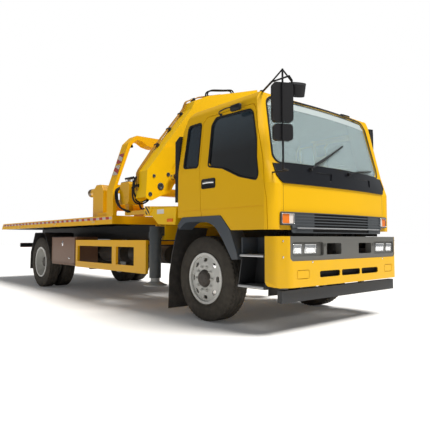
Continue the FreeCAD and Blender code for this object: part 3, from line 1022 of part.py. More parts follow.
def make_inner_boom():
    """The inner boom, from the head pin down to the knuckle."""
    length, angle = line(HEAD, KNUCKLE)
    width = ("crane_x - boom_width/2 + boom_gap", "crane_x + boom_width/2 - boom_gap")
    outline = [(-110, -110), (110, -115), (length - 60, "-inner_height/2"), (length + 80, -100), (length + 120, 0), (length + 80, 100), (length - 60, "inner_height/2"), (110, 115), (-110, 110)]
    beam = prism("InnerBeam", "yz", outline, width, {0: 60, 8: 60, 3: 40, 5: 40})
    bores = [rod("InnerHeadBore", "x", (0, 0), "40 + running_gap", ("crane_x - 300", "crane_x + 300")),
             rod("InnerKnuckleBore", "x", (length, 0), "38 + running_gap", ("crane_x - 300", "crane_x + 300"))]
    luff = rod("LuffBoss", "x", (500, 0), 34, ("crane_x - boom_width/2 - 71.7", "crane_x - boom_width/2 + 10"))
    # The fold cylinder's bracket stands on the front side
    back = FreeCAD.Rotation(Vector(1, 0, 0), -angle).multVec(Vector(0, -350 - number("head_y"), 2420 - number("head_z")))
    boss = fuse("FoldBoss", [rod("FoldBossRound", "x", (back.y, back.z), 33, ("crane_x + boom_width/2 - 10", "crane_x + boom_width/2 + 61.7")),
                             rod("FoldPin", "x", (back.y, back.z), 30, ("crane_x + boom_width/2", "crane_x + boom_width/2 + 140"))])
    ear = box("FoldEar", ("crane_x + boom_width/2 - 12", "crane_x + boom_width/2 + 12"), (back.y - 70, back.y + 70), (f"{min(back.z, 0)} - 40", f"{max(back.z, 0)}"))
    whole = fuse("InnerWhole", [cut("InnerBored", beam, bores), luff, boss, ear])
    node("inner_boom", [slab("InnerBoom", [whole], HEAD, angle)])


def make_outer_boom():
    """The outer boom: a fork at the knuckle, a leaning limb and a flatter top limb."""
    box_outline = [(-985, 2270), (-460, 2940), (-400, 3080), (-150, 3200), (420, 3370), (950, 3532), (1029, 3274), (-140, 2917), (-775, 2105)]
    limb = prism("OuterLimb", "yz", box_outline, ("crane_x - boom_width/2", "crane_x + boom_width/2"), {2: 60, 7: 60})
    fork = [(-1250, 1930), (-1270, 1560), (-1180, 1510), (-1020, 1590), (-860, 1650), (-800, 1760), (-800, 1950), (-840, 1990), (-700, 2200), (-820, 2330), (-985, 2270)]
    cheeks = [prism(f"OuterCheek{i}", "yz", fork, span, {2: 40, 4: 40, 6: 40}) for i, span in enumerate((
        ("crane_x + boom_width/2", "crane_x + boom_width/2 + 24"), ("crane_x - boom_width/2 - 24", "crane_x - boom_width/2")))]
    back = prism("OuterBack", "yz", [(-1250, 1930), (-1270, 1560), (-1240, 1560), (-1222, 1920), (-940, 2290), (-920, 2340), (-985, 2270)],
                 ("crane_x - boom_width/2 - 20", "crane_x + boom_width/2 + 20"))
    pin = rod("KnucklePin", "x", KNUCKLE, 38, ("crane_x - boom_width/2 - 24", "crane_x + boom_width/2 + 24"))
    slide = document.addObject("Part::Box", "ExtensionRoom")
    slide.Length = 180.6
    slide.Width = 1300
    slide.Height = 180.6
    slope = math.degrees(math.atan2(162, 530))
    slide.Placement = FreeCAD.Placement(Vector(number("crane_x") - 90.3, 989.5, 3403), FreeCAD.Rotation(Vector(1, 0, 0), slope))
    turn = FreeCAD.Rotation(Vector(1, 0, 0), slope)
    slide.Placement = FreeCAD.Placement(slide.Placement.Base + turn.multVec(Vector(0, -1250, -90.3)), turn)
    node("outer_boom", [cut("OuterWhole", fuse("OuterFused", [limb, back, pin] + cheeks), [slide])])
    return turn


def make_extension(turn):
    """The sliding length of the boom, with the hook at its head."""
    middle = Vector(number("crane_x"), 989.5, 3403)
    arm = document.addObject("Part::Box", "ExtensionArm")
    arm.Length = 180
    arm.Width = 1330
    arm.Height = 180
    arm.Placement = FreeCAD.Placement(middle + turn.multVec(Vector(-90, -1230, -90)), turn)
    head = box("ExtensionHead", ("crane_x - 60", "crane_x + 60"), (1060, 1150), (3330, 3520))
    shank = rod("HookShank", "z", ("crane_x", 1110), 14, (3140, 3340))
    swivel = rod("HookSwivel", "z", ("crane_x", 1110), 42, (3200, 3290))
    hook = cut("HookBend", rod("HookOutside", "x", (1110, 3090), 72, ("crane_x - 14", "crane_x + 14")),
               [rod("HookInside", "x", (1110, 3090), 40, ("crane_x - 15", "crane_x + 15")),
                box("HookMouth", ("crane_x - 15", "crane_x + 15"), (1126, 1200), (3090, 3170))])
    node("boom_extension", [fuse("Extension", [arm, head, shank, swivel, hook])])


def cylinder_between(name, start, end, x, sizes):
    """Barrel and rod of a crane cylinder between two pins given as (y, z)."""
    barrel_radius, rod_radius, barrel_length, eye = sizes
    length, angle = line(start, end)
    low, high = (f"{x} - 38", f"{x} + 38")
    tube = rod(name + "Tube", "y", (x, 0), barrel_radius, (eye - 4, barrel_length))
    tube_eye = rod(name + "TubeEye", "x", (0, 0), eye, (low, high))
    bore = rod(name + "Bore", "y", (x, 0), rod_radius + 1, (eye + 25, barrel_length + 1))
    pin_bore = rod(name + "PinBore", "x", (0, 0), 30.5, (f"{x} - 50", f"{x} + 50"))
    barrel = cut(name + "BarrelWhole", fuse(name + "BarrelFused", [tube, tube_eye]), [bore, pin_bore])
    ram = rod(name + "Ram", "y", (x, 0), rod_radius, (eye + 35, length - 20))
    ram_eye = rod(name + "RamEye", "x", (length, 0), eye, (low, high))
    ram_whole = fuse(name + "RamWhole", [ram, ram_eye])
    return slab(name + "Barrel", [barrel], start, angle), slab(name + "Rod", [ram_whole], start, angle)


def make_crane_cylinders():
    """The luffing cylinder behind the column, and the folding cylinder in front of the inner boom."""
    length, angle = line(HEAD, KNUCKLE)
    foot = ("head_y", 1640)
    eye = (number("head_y") + 500 * math.cos(math.radians(angle)), number("head_z") + 500 * math.sin(math.radians(angle)))
    barrel, ram = cylinder_between("Luff", foot, eye, "(crane_x - boom_width/2 - 110)", (50, 30, 760, 46))
    node("luff_barrel", [barrel])
    node("luff_rod", [ram])
    barrel, ram = cylinder_between("Fold", (-350, 2420), (-850, 1860), "(crane_x + boom_width/2 + 100)", (46, 28, 640, 42))
    node("fold_barrel", [barrel])
    node("fold_rod", [ram])


# The whole truck


def build():
    """Make every sub-part."""
    make_rails()
    make_engine()
    make_front_axle()
    make_rear_axle()
    make_tanks()
    make_bumper()
    make_insert()
    make_steps()
    make_mudguards()
    make_side_guards()
    make_tail_lamps()
    solid = make_cab()
    sheet_form = make_glass()
    make_doors(solid, sheet_form)
    make_cab_trim()
    make_mirrors()
    make_interior()
    make_front_wheels()
    make_rims()
    make_rear_wheels()
    make_twin_rims()
    make_tilt_frame()
    make_tilt_cylinders()
    make_bed()
    make_hoop()
    make_winch()
    make_crane_base()
    make_controls()
    make_outriggers()
    make_column()
    make_inner_boom()
    turn = make_outer_boom()
    make_extension(turn)
    make_crane_cylinders()
    document.recompute()


def check():
    """Stop if any object failed or any sub-part is empty or not valid."""
    failed = [o.Name for o in document.Objects if {"Invalid", "Error"} & set(o.State)]
    if failed:
        raise SystemExit(f"failed objects: {failed}")
    bad = [w.Label for w in NODES if w.Shape.isNull() or not w.Shape.isValid() or not w.Shape.Solids]
    if bad:
        raise SystemExit(f"bad shapes: {bad}")


def write():
    """One STEP file for each sub-part."""
    os.makedirs("parts", exist_ok=True)
    for whole in NODES:
        whole.Shape.exportStep(f"parts/{whole.Label}.step")


build()
check()
write()
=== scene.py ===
"""Flatbed tow truck with a folded crane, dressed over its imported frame, seen from its front right."""

import math

import bpy
import numpy as np
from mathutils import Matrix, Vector


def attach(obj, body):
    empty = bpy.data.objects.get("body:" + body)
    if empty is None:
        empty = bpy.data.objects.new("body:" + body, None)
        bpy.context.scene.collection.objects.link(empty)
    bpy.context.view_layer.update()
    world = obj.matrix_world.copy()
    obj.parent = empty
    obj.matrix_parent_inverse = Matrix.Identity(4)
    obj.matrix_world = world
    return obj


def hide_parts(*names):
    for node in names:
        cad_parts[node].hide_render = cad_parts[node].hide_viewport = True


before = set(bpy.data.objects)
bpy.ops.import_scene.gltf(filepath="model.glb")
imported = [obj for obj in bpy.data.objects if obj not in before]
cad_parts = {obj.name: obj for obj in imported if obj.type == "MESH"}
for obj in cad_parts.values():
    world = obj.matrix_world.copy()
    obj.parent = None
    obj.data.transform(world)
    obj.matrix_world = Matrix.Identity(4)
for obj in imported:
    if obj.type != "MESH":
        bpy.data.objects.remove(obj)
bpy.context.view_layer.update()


# View and light
# The truck stands on a plain pale floor. The camera is where the photographer stood, low and close to the
# front right corner. The sun is high, ahead and to the left, so the near side is in open shade.

AXLE = 3.173        # the front axle's place along X: every size below starts on the ground under it

camera_data = bpy.data.cameras.new("view")
camera_data.lens = 38.12
camera_data.sensor_width = 36.0
camera_data.clip_end = 200.0
camera = bpy.data.objects.new("view", camera_data)
camera.location = (AXLE + 4.255, -4.596, 0.984)
camera.rotation_euler = (math.radians(93.0), 0.0, math.radians(49.4))
bpy.context.scene.camera = camera
bpy.context.scene.view_settings.view_transform = "Standard"

sun = bpy.data.lights.new("key", "SUN")
sun.energy = 4.0
sun.angle = math.radians(24)
sun.color = (1.0, 0.97, 0.92)
sunlight = bpy.data.objects.new("key", sun)
sunlight.rotation_euler = Vector((-0.46, -0.22, -0.86)).to_track_quat("-Z", "Y").to_euler()
for thing in (camera, sunlight):
    bpy.context.collection.objects.link(thing)


def add_mesh(name, points, faces, smooth=True):
    """A new object from its points, measured from the ground under the front axle, and its faces."""
    placed = np.asarray(points, float) + (AXLE, 0, 0)
    mesh = bpy.data.meshes.new(name)
    mesh.from_pydata(placed.tolist(), [], [list(map(int, face)) for face in faces])
    mesh.update()
    if smooth:
        mesh.polygons.foreach_set("use_smooth", np.ones(len(mesh.polygons), bool))
    obj = bpy.data.objects.new(name, mesh)
    bpy.context.collection.objects.link(obj)
    return obj


def wire(tree, made, inputs):
    """Give a shader node's inputs their values, or a link where a socket is given."""
    for name, value in inputs.items():
        if isinstance(value, bpy.types.NodeSocket):
            tree.links.new(value, made.inputs[name])
        else:
            made.inputs[name].default_value = value


def node(tree, kind, inputs=None):
    """A new shader node of a kind, with its inputs."""
    made = tree.nodes.new("ShaderNode" + kind)
    wire(tree, made, inputs or {})
    return made


def maths(tree, operation, *values):
    """The result of one operation on sockets or numbers."""
    made = node(tree, "Math", dict(enumerate(values)))
    made.operation = operation
    return made.outputs[0]


def material(name, colour, rough=0.5, metal=0.0):
    """A node material with its plain values on the shader; returns it with its tree and its shader."""
    made = bpy.data.materials.new(name)
    made.use_nodes = True
    shader = made.node_tree.nodes["Principled BSDF"]
    wire(made.node_tree, shader, {"Base Color": (*colour, 1.0), "Roughness": rough, "Metallic": metal})
    return made, made.node_tree, shader


floor_half = 60
floor_corners = [(-floor_half, -floor_half, 0), (floor_half, -floor_half, 0),
                 (floor_half, floor_half, 0), (-floor_half, floor_half, 0)]
floor = add_mesh("floor", floor_corners, [(0, 1, 2, 3)])
floor_paint, tree, shader = material("pale floor", (0.93, 0.93, 0.93), 0.95)
lift = maths(tree, "MULTIPLY", node(tree, "LightPath").outputs["Is Camera Ray"], 0.04)
wire(tree, shader, {"Specular IOR Level": 0.1, "Emission Color": (1, 1, 1, 1), "Emission Strength": lift})
floor.data.materials.append(floor_paint)

world = bpy.data.worlds.new("studio")
bpy.context.scene.world = world
world.use_nodes = True
tree = world.node_tree
tree.nodes.clear()
ambient = node(tree, "Background", {"Color": (0.94, 0.97, 1.0, 1), "Strength": 0.24}).outputs[0]
backdrop = node(tree, "Background", {"Color": (1, 1, 1, 1), "Strength": 1.0}).outputs[0]
rays = node(tree, "LightPath").outputs
seen = maths(tree, "MAXIMUM", rays["Is Camera Ray"], rays["Is Transmission Ray"])
sky = node(tree, "MixShader", {0: seen, 1: ambient, 2: backdrop}).outputs[0]
node(tree, "OutputWorld", {"Surface": sky})


# Cab shell, doors and bumper
# The cab is pressed steel, spot welded and sprayed yellow with a clear gloss. The bumper is the same
# paint. The windscreen is pale laminated glass, the side glass is tinted, and black rubber holds each pane.


def object_place(tree):
    """The place on the piece, on which each pattern lies."""
    return node(tree, "TexCoord").outputs["Object"]


def along_axis(tree, place, axis):
    """One coordinate of a place."""
    return node(tree, "SeparateXYZ", {0: place}).outputs[axis]


def noise(tree, place, scale, detail=2.0):
    """A cloudy pattern between 0 and 1."""
    return node(tree, "TexNoise", {"Vector": place, "Scale": scale, "Detail": detail}).outputs["Fac"]


def ranged(tree, value, low, high, first=0.0, last=1.0):
    """A value that runs from first to last carried over, in proportion, to one from low to high."""
    ends = {"From Min": first, "From Max": last, "To Min": low, "To Max": high}
    return node(tree, "MapRange", {"Value": value, **ends}).outputs["Result"]


def mixed(tree, share, first, second):
    """The first colour where share is 0 and the second where it is 1; each is a socket or three numbers."""
    made = node(tree, "Mix")
    made.data_type = "RGBA"
    first, second = [c if isinstance(c, bpy.types.NodeSocket) else (*c, 1) for c in (first, second)]
    wire(tree, made, {0: share, 6: first, 7: second})
    return made.outputs[2]


def bumped(tree, height, strength, distance):
    """The surface's normal, bent by a pattern of heights."""
    inputs = {"Height": height, "Strength": strength, "Distance": distance}
    return node(tree, "Bump", inputs).outputs["Normal"]


def painted(name, colour, rough=0.42, coat=0.18, dust=0.18, metal=0.0, grain=90.0, bump=0.02):
    """Sprayed paint: the colour drifts a little over the panels, dust gathers low down, fine orange peel."""
    made, tree, shader = material(name, colour, rough, metal)
    place = object_place(tree)
    dull, clear = [c * 0.93 for c in colour], [min(1, c * 1.05) for c in colour]
    drift = mixed(tree, noise(tree, place, 1.3, 4.0), dull, clear)
    low = ranged(tree, along_axis(tree, place, "Z"), 0.0, dust, 1.3, 0.2)
    amount = maths(tree, "MULTIPLY", low, noise(tree, place, 14.0, 8.0))
    wire(tree, shader, {"Coat Weight": coat, "Coat Roughness": 0.12,
                        "Specular IOR Level": 0.5 if metal else 0.22,
                        "Base Color": mixed(tree, amount, drift, (0.30, 0.26, 0.21)),
                        "Roughness": ranged(tree, amount, rough, min(1.0, rough + 0.25)),
                        "Normal": bumped(tree, noise(tree, place, grain), bump, 0.002)})
    return made


def finish_nodes(made, *names):
    """Give CAD nodes their finish."""
    for name in names:
        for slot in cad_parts[name].material_slots:
            slot.material = made


def fit(obj, made, body):
    """A finished piece: its material and the body it rides on."""
    obj.data.materials.append(made)
    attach(obj, body)
    return obj


def together(*meshes):
    """Several (points, faces) as one."""
    points, faces, start = [], [], 0
    for some, sides in meshes:
        points.append(np.asarray(some, float))
        faces += [[start + int(k) for k in face] for face in sides]
        start += len(some)
    return np.concatenate(points), faces


def piece(name, shape, made, body, smooth=True):
    """A finished piece from one (points, faces) or from a list of them."""
    points, faces = shape if isinstance(shape, tuple) else together(*shape)
    return fit(add_mesh(name, points, faces, smooth), made, body)


def grid_faces(rows, columns, wrap_rows=False, wrap_columns=False):
    """Quads of a grid whose point (i, j) is number i * columns + j; either way may close on itself."""
    i = np.arange(rows if wrap_rows else rows - 1)[:, None]
    j = np.arange(columns if wrap_columns else columns - 1)[None, :]
    k, l = (i + 1) % rows, (j + 1) % columns
    corners = (i * columns + j, k * columns + j, k * columns + l, i * columns + l)
    return np.stack([corner.ravel() for corner in corners], 1)


def laid_on(name, spots, way):
    """Where lines through the spots, running along way, first meet a CAD node."""
    solid, way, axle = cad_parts[name], Vector(way), Vector((AXLE, 0, 0))
    hits = [solid.ray_cast(Vector(spot) + axle - way * 2, way) for spot in np.asarray(spots).tolist()]
    return np.array([tuple(hit[1] - axle) if hit[0] else (np.nan,) * 3 for hit in hits])


def rounded(outline, radius, steps=5):
    """An outline with each corner cut to a round: an arc of quadratic blend between the points at the
    radius' distance along both sides of the corner, divided into steps."""
    outline = np.asarray(outline, float)
    before, after = np.roll(outline, 1, 0) - outline, np.roll(outline, -1, 0) - outline
    before /= np.linalg.norm(before, axis=1)[:, None]
    after /= np.linalg.norm(after, axis=1)[:, None]
    t = np.linspace(0, 1, steps)[None, :, None]
    a, c = outline + before * radius, outline + after * radius
    return ((1 - t)**2 * a[:, None] + 2 * t * (1 - t) * outline[:, None] + t**2 * c[:, None]).reshape(-1, 2)


def oblong(across, up, radius, steps=5):
    """A rectangle between two places across and two up, with rounded corners."""
    (a, b), (c, d) = across, up
    return rounded([(a, c), (b, c), (b, d), (a, d)], radius, steps)


def outset(outline, gap):
    """A closed outline moved out by a gap along the normal of the chord between each point's neighbours."""
    chord = np.roll(outline, -1, 0) - np.roll(outline, 1, 0)
    normal = np.stack([chord[:, 1], -chord[:, 0]], 1) / np.linalg.norm(chord, axis=1)[:, None]
    area = np.sum(outline[:, 0] * np.roll(outline[:, 1], -1) - np.roll(outline[:, 0], -1) * outline[:, 1])
    return outline + normal * gap * np.sign(area)


def divided(outline, step):
    """A closed outline with its long sides divided to about one step."""
    counts = [max(1, int(np.linalg.norm(b - a) / step)) for a, b in zip(outline, np.roll(outline, -1, 0))]
    shares = [np.linspace(0, 1, count, endpoint=False)[:, None] for count in counts]
    return np.concatenate([a + (b - a) * t for a, b, t in zip(outline, np.roll(outline, -1, 0), shares)])


def moulding(ring, out, lip=0.020, depth=0.036):
    """A window moulding round a closed line: an L of a low bead on the panel and a wall in the opening."""
    out = np.asarray(out, float)
    across = np.cross(np.roll(ring, -1, 0) - np.roll(ring, 1, 0), out)
    across /= np.linalg.norm(across, axis=1)[:, None]
    across *= np.sign(np.sum(across * (ring - ring.mean(0)), 1).sum())
    profile = [(lip * 0.25, -0.001), (lip * 0.25, 0.005), (-0.004, 0.0065), (-0.013, 0.004),
               (-0.0155, -depth), (-0.0125, -depth), (-0.0105, -0.004)]
    points = np.stack([ring + across * u + out * v for u, v in profile], 1)
    faces = grid_faces(len(ring), len(profile), True, True)
    turn = np.cross(points[1, 0] - points[0, 0], points[0, 1] - points[0, 0])
    outwards = np.dot(turn, points[0, 0] - points[0].mean(0)) > 0
    return points.reshape(-1, 3), faces if outwards else faces[:, ::-1]


SIDES = (("left", 1), ("right", -1))        # the left side is at positive Y

cab_yellow = painted("cab yellow", (0.80, 0.45, 0.0001), coat=0.07)
finish_nodes(cab_yellow, "cab_shell", "door_left", "door_right", "front_bumper")

rear_panes, windscreen = (0.045, 0.075, 0.105), (0.66, 0.80, 0.82)
glass, tree, shader = material("window glass", (0.46, 0.57, 0.57), 0.02)
place = object_place(tree)
in_front = maths(tree, "GREATER_THAN", along_axis(tree, place, "X"), 3.6)
wire(tree, shader, {"Transmission Weight": 0.72, "Coat Weight": 0.6, "IOR": 1.3,
                    "Base Color": mixed(tree, in_front, rear_panes, windscreen),
                    "Roughness": ranged(tree, noise(tree, place, 3.0), 0.01, 0.06)})
finish_nodes(glass, "cab_glass")
side_glass, tree, shader = material("tinted side glass", (0.05, 0.07, 0.08), 0.02)
height = ranged(tree, along_axis(tree, object_place(tree), "Z"), 0.0, 1.0, 1.95, 2.40)
wire(tree, shader, {"Transmission Weight": 0.55, "Coat Weight": 0.8,
                    "Base Color": mixed(tree, height, (0.006, 0.008, 0.010), (0.060, 0.095, 0.125))})
finish_nodes(side_glass, "door_glass_left", "door_glass_right")

black_plastic = painted("black plastic", (0.014, 0.014, 0.016), 0.5, 0.05, 0.15, grain=400, bump=0.15)
finish_nodes(black_plastic, "mirrors", "door_mirror", "intake_duct", "dashboard")
gloss_black = painted("gloss black garnish", (0.006, 0.007, 0.010), 0.28, coat=0.7, dust=0.0)
finish_nodes(gloss_black, "screen_garnish")
rubber = painted("window rubber", (0.010, 0.010, 0.011), 0.62, coat=0.0, dust=0.1, grain=300, bump=0.1)

rubber_reach = 0.011        # how far the rubber's line lies outside the opening
door_window = [(0.178, 1.838), (0.430, 1.790), (0.700, 1.670), (0.950, 1.610), (0.972, 1.660),
               (0.925, 2.040), (0.838, 2.345), (0.790, 2.388), (0.230, 2.405), (0.168, 2.330)]
quarter_window = [(-0.312, 1.871), (-0.032, 1.850), (-0.052, 2.398), (-0.292, 2.395)]
for side, s in SIDES[::-1]:
    door = f"door_{side}"
    for name, outline, corner, panel, body in (("door_rubber", door_window, 0.024, door, door),
                                               ("quarter_rubber", quarter_window, 0.04, "cab_shell", "cab")):
        ring = divided(outset(rounded(outline, corner), rubber_reach), 0.05)
        spots = np.stack([ring[:, 0], np.full(len(ring), s * 1.3), ring[:, 1]], 1)
        ring = laid_on(panel, spots, (0, -s, 0))
        piece(f"{name}_{side}", moulding(ring, (0, s, 0)), rubber, body)

ring = divided(outset(oblong((-0.5, 0.5), (1.9, 2.3), 0.05), rubber_reach), 0.08)
ring = laid_on("cab_shell", np.stack([np.full(len(ring), -1.0), ring[:, 0], ring[:, 1]], 1), (1, 0, 0))
piece("rear_window_rubber", moulding(ring, (-1, 0, 0)), rubber, "cab")


# Windscreen band and wipers
# A pale band lies along the top of the screen. Two wipers are black steel arms with rubber
# blades, parked along the bottom on spindles through the garnish.


def through(knots, steps):
    """Catmull-Rom curve: between knots b and c it is the cubic with slopes (c - a) / 2 and (d - b) / 2."""
    knots = np.asarray(knots, float)
    spans = len(knots) - 1
    t = np.arange(spans * steps + 1) / steps
    i = np.minimum(t.astype(int), spans - 1)
    f = (t - i)[:, None]
    a, b, c, d = [knots[np.clip(i + k, 0, spans)] for k in (-1, 0, 1, 2)]
    curve = b + f * (c - a) / 2 + f**2 * (a - 2.5 * b + 2 * c - d / 2)
    return curve + f**3 * (1.5 * (b - c) + (d - a) / 2)


def tube(path, radii, sides=8, closed=False):
    """Points and faces of a round tube: at each path point a circle across the path's direction, with
    two axes p = up x direction and q = direction x p. radii is (along p, along q). Ends are capped."""
    path = np.asarray(path, float)
    way = np.roll(path, -1, 0) - np.roll(path, 1, 0) if closed else np.gradient(path, axis=0)
    way /= np.linalg.norm(way, axis=1)[:, None]
    up = np.where(np.abs(way[:, 2:]) > 0.9, [[1.0, 0.0, 0.0]], [[0.0, 0.0, 1.0]])
    p = np.cross(up, way)
    p /= np.linalg.norm(p, axis=1)[:, None]
    q = np.cross(way, p)
    turn = np.arange(sides) * 2 * math.pi / sides
    rp, rq = radii
    ring = rp * np.cos(turn)[None, :, None] * p[:, None] + rq * np.sin(turn)[None, :, None] * q[:, None]
    faces = grid_faces(len(path), sides, closed, True).tolist()
    if not closed:
        last = (len(path) - 1) * sides
        faces += [list(range(sides))[::-1], [last + k for k in range(sides)]]
    return (path[:, None] + ring).reshape(-1, 3), faces


AHEAD = 2.0        # a place ahead of the whole cab, from which spots are laid back on its front
BACK = (-1, 0, 0)

silver_band = painted("pale screen band", (0.50, 0.57, 0.58), 0.25, coat=0.6, dust=0.0, grain=60)
y, z = np.meshgrid(np.linspace(-0.955, 0.955, 41), np.linspace(2.452, 2.527, 5))
band = laid_on("cab_glass", np.stack([np.full(y.size, AHEAD), y.ravel(), z.ravel()], 1), BACK)
piece("screen_band", (band + (0.0015, 0, 0), grid_faces(5, 41)), silver_band, "cab")

blades, arms = [], []
for pivot, low, high in ((-0.56, (-0.44, 1.815), (0.21, 2.12)), (0.13, (0.24, 1.79), (0.82, 1.862))):
    blade = np.linspace((AHEAD, *low), (AHEAD, *high), 25)
    blade = laid_on("cab_glass", blade, BACK) + (0.012, 0, 0)
    blades.append(tube(blade, (0.006, 0.010), 6))
    arms.append(tube(blade[2:23] + (0.014, 0, 0.002), (0.009, 0.006), 6))
    foot = laid_on("screen_garnish", [(AHEAD, pivot, 1.752)], BACK)[0]
    knots = [foot + (-0.01, 0, 0), foot + (0.030, 0, 0.005),
             blade[5] * 0.6 + foot * 0.4 + (0.034, 0, 0), blade[12] + (0.026, 0, 0)]
    arms.append(tube(through(knots, 6), (0.011, 0.007), 6))
    arms.append(tube([foot + (-0.012, 0, 0), foot + (0.03, 0, 0)], (0.022, 0.022), 12))
piece("wiper_blades", blades, rubber, "cab")
piece("wiper_arms", arms, black_plastic, "cab")


# Cab trim: corner lamps, grille, seams and door handles
# Corner lamps have an orange outer half and a clear inner half in a bright bezel. The grille is grey
# moulded plastic, black behind its bars, with a lip under them. Each door has a black cup and a pull.


def two_tone(name, outer, inner, axis, edge, rough=0.3, coat=0.4, absolute=True):
    """Two colours on one piece, changing where the distance along an axis passes an edge."""
    made, tree, shader = material(name, outer, rough)
    place = object_place(tree)
    size = along_axis(tree, place, axis)
    size = maths(tree, "ABSOLUTE", size) if absolute else size
    plain = mixed(tree, maths(tree, "GREATER_THAN", size, edge), inner, outer)
    faint = maths(tree, "MULTIPLY", noise(tree, place, 60.0), 0.3)
    worn = mixed(tree, faint, plain, [c * 0.7 for c in outer])
    wire(tree, shader, {"Coat Weight": coat, "Base Color": worn})
    return made


def front_face(y, z, out=0.0):
    """The cab's front below the screen as a bow: x = 1.188 + out - 0.058 (y / 1.02)^2."""
    y, z = np.broadcast_arrays(np.asarray(y, float), np.asarray(z, float))
    return np.stack([1.188 + out - 0.058 * (y / 1.02)**2, y, z], -1)


def flipped(mesh, side=1):
    """The mesh, or for side -1 its mirror image across the truck, with its faces turned to match."""
    points, faces = mesh
    return (points, faces) if side > 0 else (points * (1, -1, 1), [list(face)[::-1] for face in faces])


def dished(ring, shrink, level, order="dab", centre=None):
    """A closed outline drawn in about its centre ring by ring, each ring at its own level. The order says
    which of the level d and the outline's two places a and b runs along X, Y and Z."""
    centre = ring.mean(0) if centre is None else np.asarray(centre)
    flat = centre + (ring - centre)[None] * np.asarray(shrink)[:, None, None]
    level = np.broadcast_to(np.asarray(level)[:, None], flat.shape[:2])
    found = {"d": level, "a": flat[..., 0], "b": flat[..., 1]}
    points = np.stack([found[axis] for axis in order], -1).reshape(-1, 3)
    return points, grid_faces(len(shrink), len(ring), False, True)


orange, clear = (0.86, 0.20, 0.012), (0.80, 0.80, 0.76)
lamp_halves = two_tone("corner lamp lens", orange, clear, "Y", 0.925, rough=0.12, coat=0.8)
finish_nodes(lamp_halves, "cab_lamps")
bright = painted("bright trim", (0.72, 0.73, 0.74), 0.14, coat=0.2, dust=0.08, metal=1.0, bump=0.0)
for side, s in SIDES:
    flat = divided(oblong((s * 0.862, s * 1.033), (1.143, 1.247), 0.012, 4), 0.02)
    bezel = tube(front_face(flat[:, 0], flat[:, 1], 0.029), (0.006, 0.004), 6, True)
    piece(f"corner_lamp_bezel_{side}", bezel, bright, "cab")

grille_grey = painted("grille grey", (0.075, 0.085, 0.095), 0.45, coat=0.2, dust=0.15, grain=300, bump=0.05)
finish_nodes(grille_grey, "front_grille")
slots = [(0.538, 1.109 + 0.032 * i, 1.128 + 0.032 * i) for i in range(5)] + [(0.556, 1.058, 1.088)]
backing = []
for half, low, high in slots:
    y, z = np.meshgrid(np.linspace(-half, half, 31), [low, high])
    backing.append((front_face(y, z, 0.006).reshape(-1, 3), grid_faces(2, 31)[:, ::-1]))
piece("grille_backing", backing, rubber, "cab")

lip_grey = painted("grille lip grey", (0.30, 0.31, 0.32), 0.35, coat=0.3, dust=0.1)
ledge = front_face(np.linspace(-0.82, 0.82, 41), 1.0965, 0.0305)
piece("grille_lip_ledge", tube(ledge, (0.004, 0.008), 8), lip_grey, "cab")
seams = [np.linspace((AHEAD, y, 1.275), (AHEAD, y, 1.60), 14) for y in (0.985, -0.985)]
seams = [tube(laid_on("cab_shell", seam, BACK), (0.0022, 0.0008), 6) for seam in seams]
piece("front_panel_seams", seams, rubber, "cab")

door_skin = 1.2        # how far out the door's skin lies at its handle
cup = divided(oblong((0.046, 0.300), (1.572, 1.690), 0.03), 0.02)
levels = door_skin + np.array([-0.001, 0.008, 0.0095, 0.004, 0.0035])
points, faces = dished(cup, [1.0, 0.985, 0.93, 0.86, 0.0], levels, "adb")
cup = (points, faces[:, ::-1])
grip = through([(0.075, 1.203, 1.640), (0.095, 1.213, 1.642), (0.173, 1.219, 1.644), (0.250, 1.213, 1.642),
                (0.270, 1.203, 1.640)], 5)
pull = tube(grip, (0.007, 0.015), 8)
for side, s in SIDES:
    piece(f"door_cup_{side}", flipped(cup, s), black_plastic, f"door_{side}")
    piece(f"door_pull_{side}", flipped(pull, s), bright, f"door_{side}")


# Arch flares, steps and bumper panel
# Arches and step sides are grey moulded plastic. The steps have pressed aluminium treads with raised
# bars. The panel in the bumper is warmer grey plastic around four square lamps.

plastic_grey = (0.060, 0.072, 0.088)
arch_grey = painted("arch grey", plastic_grey, rough=0.5, coat=0.15, dust=0.3)
finish_nodes(arch_grey, "arch_flares")
step_tone = two_tone("step side", plastic_grey, (0.016, 0.016, 0.017), "Z", 0.822, 0.5, 0.1, absolute=False)
finish_nodes(step_tone, "cab_steps")
bumper_grey = painted("bumper panel grey", (0.115, 0.116, 0.110), rough=0.5, coat=0.1, dust=0.2)
finish_nodes(bumper_grey, "bumper_insert")
aluminium = painted("tread aluminium", (0.60, 0.61, 0.62), 0.35, 0.0, 0.25, metal=0.8, grain=200, bump=0.1)

treads = []
for back_edge, top in ((0.690, 0.819), (0.662, 0.493)):
    x, y = np.meshgrid(np.linspace(back_edge, 1.036, 70), np.linspace(0.934, 1.190, 40), indexing="ij")
    bars = np.maximum(np.abs(np.sin(x * 120)), np.abs(np.sin(y * 120)) * 0.4) > 0.72
    z = top + 0.0035 * bars
    z[:, -3:] = top - np.array([0.0, 0.014, 0.022])
    y[:, -3:] = np.array([1.187, 1.190, 1.188])
    treads.append((np.stack([x, y, z], -1).reshape(-1, 3), grid_faces(70, 40)))
treads = together(*treads)
for side, s in SIDES:
    piece(f"step_treads_{side}", flipped(treads, s), aluminium, "chassis", smooth=False)


# Headlamps
# Four sealed square lamps: a bright bowl behind a fluted lens, each in its own room of the panel. A thin
# plated rim holds each one, and a small bulb cover stands in its middle.


